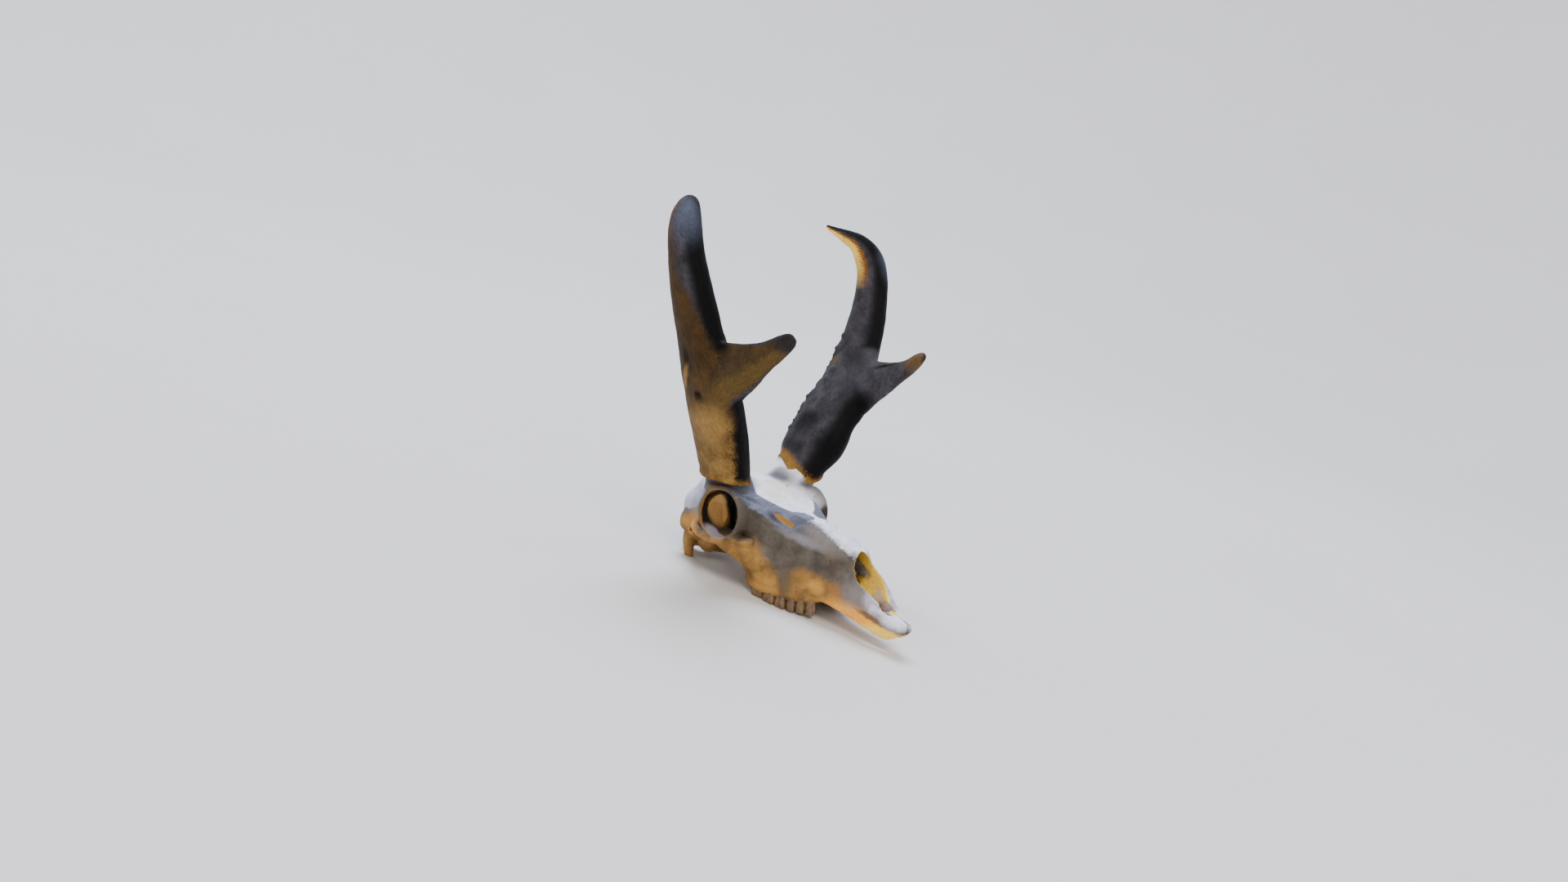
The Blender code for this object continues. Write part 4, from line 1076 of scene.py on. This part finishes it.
def makeHornMaterial():
    # horn sheath: keratin grown as fused hairs, near black in itself: painted warm light makes it a dull golden
    # brown outside and painted shade blackens its front, so that fine slanting fibres break up a low sheen
    material, add = newMaterial("fibrousHornKeratin")
    raw, folded = skullPlaces(add)
    soft = frayed(add, raw, size=10.0, amount=6.0)
    near = frayed(add, folded, size=8.0, amount=6.0)
    strand, shaft, prong, overBack = (add("Attribute", out="Vector", attribute_name=name)
                                      for name in ("strand", "shaftFacing", "prongFacing", "overBack"))
    strand = frayed(add, strand, size=22.0, amount=9.0)
    wide, long = hornLook["fibreWidth"], hornLook["fibreLength"]
    slanted = add("Mapping", {0: strand, "Rotation": (hornLook["slant"], 0.0, 0.0),
                              "Scale": (wide, wide, long)}, vector_type="TEXTURE")
    fibre = add("TexNoise", {0: slanted, "Scale": 1.0, "Detail": 3.0, "Roughness": 0.6})
    cloud = add("TexNoise", {0: soft, "Scale": 1 / hornLook["patch"], "Detail": 5.0, "Roughness": 0.65})
    patch = add("MapRange", (cloud, 0.3, 0.74))
    hair, backHair = (add("MapRange", (fibre, 0.3, 0.7, -depth, depth), clamp=False) for depth in (0.1, 1.4))
    height, rimHeight, onProng = (add("SeparateXYZ", (vector,), out="Z") for vector in (folded, shaft, prong))
    # the golden outer side, painted warm light, narrows to a strip behind
    narrowing = add("MapRange", (height, *hornLook["narrows"], -0.12, -0.93))
    wavy = add("MapRange", (cloud, 0.3, 0.7, -0.16, 0.16))
    ragged = add("Math", (add("Math", (hair, narrowing), operation="ADD"), wavy), operation="ADD")
    upwards = add("MapRange", (height, *hornLook["darkens"]))
    # only the left horn's hook, where painted warm light turns it amber, with a painted highlight in its middle
    leftwards = add("MapRange", (add("SeparateXYZ", (raw,), out="X"), 10.0, 20.0))
    hooked = add("Math", (add("MapRange", (height, *hornLook["glows"])), leftwards), operation="MULTIPLY")
    tone = {name: add("Mix", (patch, dark, light)) for name, (light, dark) in hornLook["patched"].items()}
    golden = add("Mix", (upwards, tone["outer"], tone["upper"]))
    # where it is measured, the way outwards, what is added, where its edge begins and ends, on the prong
    # or not, and the colour
    coats = (
        # the near-black front is the horn's own black deepened by painted shade; the gold outside is painted
        # warm light; the left hook's amber is painted warm light, its bright middle a painted highlight
        (shaft, (0.0, -1.0, 0.0), None, 0.36, 0.84, None, hornLook["front"]),
        (shaft, (0.906, 0.423, 0.0), ragged, -0.24, 0.18, None, golden),
        (prong, (1.0, -0.25, 0.0), hair, -0.3, 0.0, onProng, tone["prong"]),
        (prong, (-1.0, 0.0, 0.0), hair, 0.2, 0.6, onProng, tone["inner"]),
        (prong, (0.35, -0.94, 0.0), hair, 0.5, 0.95, onProng, hornLook["prongLow"]),
        (overBack, (1.0, 0.0, 0.0), backHair, -0.4, 0.7, onProng, tone["prongBack"]),
        (shaft, (-0.75, 0.66, 0.0), hair, 0.42, 0.66, hooked, hornLook["hook"]),
        (shaft, (-0.75, 0.66, 0.0), hair, 0.66, 0.95, hooked, hornLook["hookLight"]),
    )
    colour = tone["inner"]
    for facing, way, added, begin, end, share, coat in coats:
        reach = add("VectorMath", (facing, way), operation="DOT_PRODUCT")
        if added:
            reach = add("Math", (reach, added), operation="ADD")
        mask = add("MapRange", (reach, begin, end), interpolation_type="SMOOTHSTEP")
        if share:
            mask = add("Math", (mask, share), operation="MULTIPLY")
        colour = add("Mix", (mask, colour, coat))
    # the rim's golden band is broadest on the inner side
    lowRag = add("MapRange", (hair, -0.1, 0.1, -6.5, 0.5), clamp=False)
    behind = add("VectorMath", (shaft, (-0.9, 0.3, 0.0)), operation="DOT_PRODUCT")
    behind = add("MapRange", (behind, -0.1, 0.9, 0.0, -8.0))
    low = add("Math", (add("Math", (rimHeight, lowRag), operation="ADD"), behind), operation="ADD")
    mask = add("MapRange", (low, 3.5, -1.5, 0.0, 0.92))
    colour = add("Mix", (mask, colour, tone["rim"]))
    colour = stainedAndLit(add, colour, near, hornStainsAndLight)
    colour = stainedAndLit(add, colour, soft, oneHornStainsAndShade)
    for noiseValue, low, high in ((fibre, 0.64, 1.4), (cloud, 0.9, 1.1)):
        shade = add("MapRange", (noiseValue, 0.3, 0.7, low, high))
        colour = add("VectorMath", (colour, shade), operation="SCALE")
    dull = add("MapRange", (fibre, 0.3, 0.7, 0.5, 0.68))
    bump = add("Bump", {"Height": fibre, "Strength": 0.55, "Distance": 0.6 * mm})
    surface = add("BsdfPrincipled", {"Base Color": colour, "Roughness": dull, "Normal": bump, "IOR": 1.54,
                                     "Specular IOR Level": 0.08})
    add("OutputMaterial", (surface,))
    return material


enamelLook = {"light": "#785a33", "dark": "#4f391c", "stain": "#3b2b15", "patch": 4.0}


def makeEnamel():
    # worn teeth: enamel and dentine under brown stain that runs down the folds, smoother than bone
    material, add = newMaterial("stainedToothEnamel")
    raw, _ = skullPlaces(add)
    cloud = add("TexNoise", {0: raw, "Scale": 1 / enamelLook["patch"], "Detail": 4.0, "Roughness": 0.6})
    upright = add("Mapping", {0: raw, "Scale": (1.2, 1.2, 0.12)})
    ridge = add("TexNoise", {0: upright, "Scale": 1.0, "Detail": 2.0})
    share = add("MapRange", (cloud, 0.35, 0.65))
    colour = add("Mix", (share, enamelLook["light"], enamelLook["dark"]))
    dark = add("MapRange", (ridge, 0.52, 0.75, 0.0, 0.8))
    colour = add("Mix", (dark, colour, enamelLook["stain"]))
    bump = add("Bump", {"Height": ridge, "Strength": 0.4, "Distance": 0.3 * mm})
    surface = add("BsdfPrincipled", {"Base Color": colour, "Roughness": 0.42, "Normal": bump, "IOR": 1.62})
    add("OutputMaterial", (surface,))
    return material


# Putting the pieces in place

def place(obj, node, slot, material, crease=45):
    obj.data.transform(atRest)
    # nothing dips below the floor
    for vert in obj.data.vertices:
        vert.co.z = max(vert.co.z, 0.0)
    obj.data.materials.clear()
    obj.data.materials.append(material)
    obj.data.shade_smooth()
    obj.data.set_sharp_from_angle(angle=radians(crease))
    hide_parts(node)
    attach(obj, "root")


def facesOf(pieces):
    return ", ".join(f"{name} {len(obj.data.polygons)}" for name, (obj, _, _) in pieces.items())


bone = makeBone()
horn = makeHornMaterial()
enamel = makeEnamel()
skull, walls = makeSkull()
bones = partBones(skull)
for obj, node, slot in bones.values():
    for name, hollow in (("noseWall", "nose"), ("eyeWall", "orbit"), ("slitWall", "vacuity")):
        keptOn(obj, name, wallOf(obj, walls[hollow]))
    outlined(obj, boneOutlines)
    place(obj, node, slot, bone)
print("bones placed:", facesOf(bones))
for side in sides:
    place(makeTeeth(side), f"maxilla_{side.lower()}", "maxilla", enamel, crease=35)
    pieces = makeHorn(side)
    for obj, node, slot in pieces.values():
        place(obj, node, slot, horn)
    print("horn placed:", facesOf(pieces))


# Floor, light and camera

studio = {"floor": "#dedcd8", "shade": "#d8d6d2", "radius": 3.2, "curve": 3.5, "wall": 4.0,
          "sky": "#e6e8ee", "skyStrength": 0.38, "aim": (0, 0.02, 0.14)}


def makeFloor():
    # a pale floor that curves up far behind, all round
    radius, curve, wall = studio["radius"], studio["curve"], studio["wall"]
    steps, segments = 16, 96
    turns = [k / steps * pi / 2 for k in range(steps + 1)]
    profile = [(radius + curve * sin(turn), curve * (1 - cos(turn))) for turn in turns]
    profile.append((radius + curve, curve + wall))
    circle = [(cos(k * tau / segments), sin(k * tau / segments)) for k in range(segments)]
    bm = bmesh.new()
    addTube(bm, [[(out * x, out * y, up) for x, y in circle] for out, up in profile], closed=(0,))
    floor = meshObject("floor", bm)
    floor.data.shade_smooth()
    # matte background paper: one pale tone that clouds a little, with no gloss
    material, add = newMaterial("matteStudioPaper")
    cloud = add("TexNoise", {0: add("TexCoord", out="Object"), "Scale": 1.5, "Detail": 2.0})
    colour = add("Mix", (cloud, studio["floor"], studio["shade"]))
    surface = add("BsdfPrincipled", {"Base Color": colour, "Roughness": 0.85})
    add("OutputMaterial", (surface,))
    floor.data.materials.append(material)


lamps = {
    # place, size and power in watts, colour
    "key": ((-3.0, -3.6, 5.2), 3.0, 300, "#fff6ec"),
    "fill": ((5.0, -3.4, 3.4), 4.0, 50, "#eaf0ff"),
    "top": ((1.2, 2.4, 6.4), 4.0, 690, "#dfe8ff"),
}


def makeLamps():
    for name, (position, size, power, colour) in lamps.items():
        lamp = bpy.data.lights.new(name, "AREA")
        lamp.shape = "DISK"
        lamp.size = size
        lamp.energy = power
        lamp.color = linear(colour)[:3]
        obj = linked(name, lamp)
        obj.location = position
        obj.rotation_euler = (Vector(studio["aim"]) - obj.location).to_track_quat("-Z", "Y").to_euler()
    world = bpy.data.worlds.new("studio")
    world.use_nodes = True
    sky = world.node_tree.nodes["Background"].inputs
    sky["Color"].default_value = linear(studio["sky"])
    sky["Strength"].default_value = studio["skyStrength"]
    bpy.context.scene.world = world


# the photograph's angle, in the skull's own axes: degrees and millimetres
view = {"azimuth": -48.6, "elevation": 4.1, "roll": 6.6, "target": (148.2, 307.0, 142.1), "distance": 1328.9,
        "angle": 42.7}


def makeCamera():
    azimuth, elevation, roll = (radians(view[name]) for name in ("azimuth", "elevation", "roll"))
    back = Vector((sin(azimuth) * cos(elevation), -cos(azimuth) * cos(elevation), sin(elevation)))
    level = Vector((cos(azimuth), sin(azimuth), 0))
    upright = back.cross(level)
    right = level * cos(roll) + upright * sin(roll)
    up = upright * cos(roll) - level * sin(roll)
    turn = Matrix((right, up, back)).transposed().to_4x4()
    camera = linked("camera", bpy.data.cameras.new("camera"))
    camera.data.sensor_fit = "VERTICAL"
    camera.data.angle_y = radians(view["angle"])
    camera.data.clip_start = 0.01
    position = atRest @ (Vector(view["target"]) + back * view["distance"])
    camera.matrix_world = Matrix.Translation(position) @ restTurn @ turn
    bpy.context.scene.camera = camera


makeFloor()
makeLamps()
makeCamera()
print("floor, lamps and camera made")
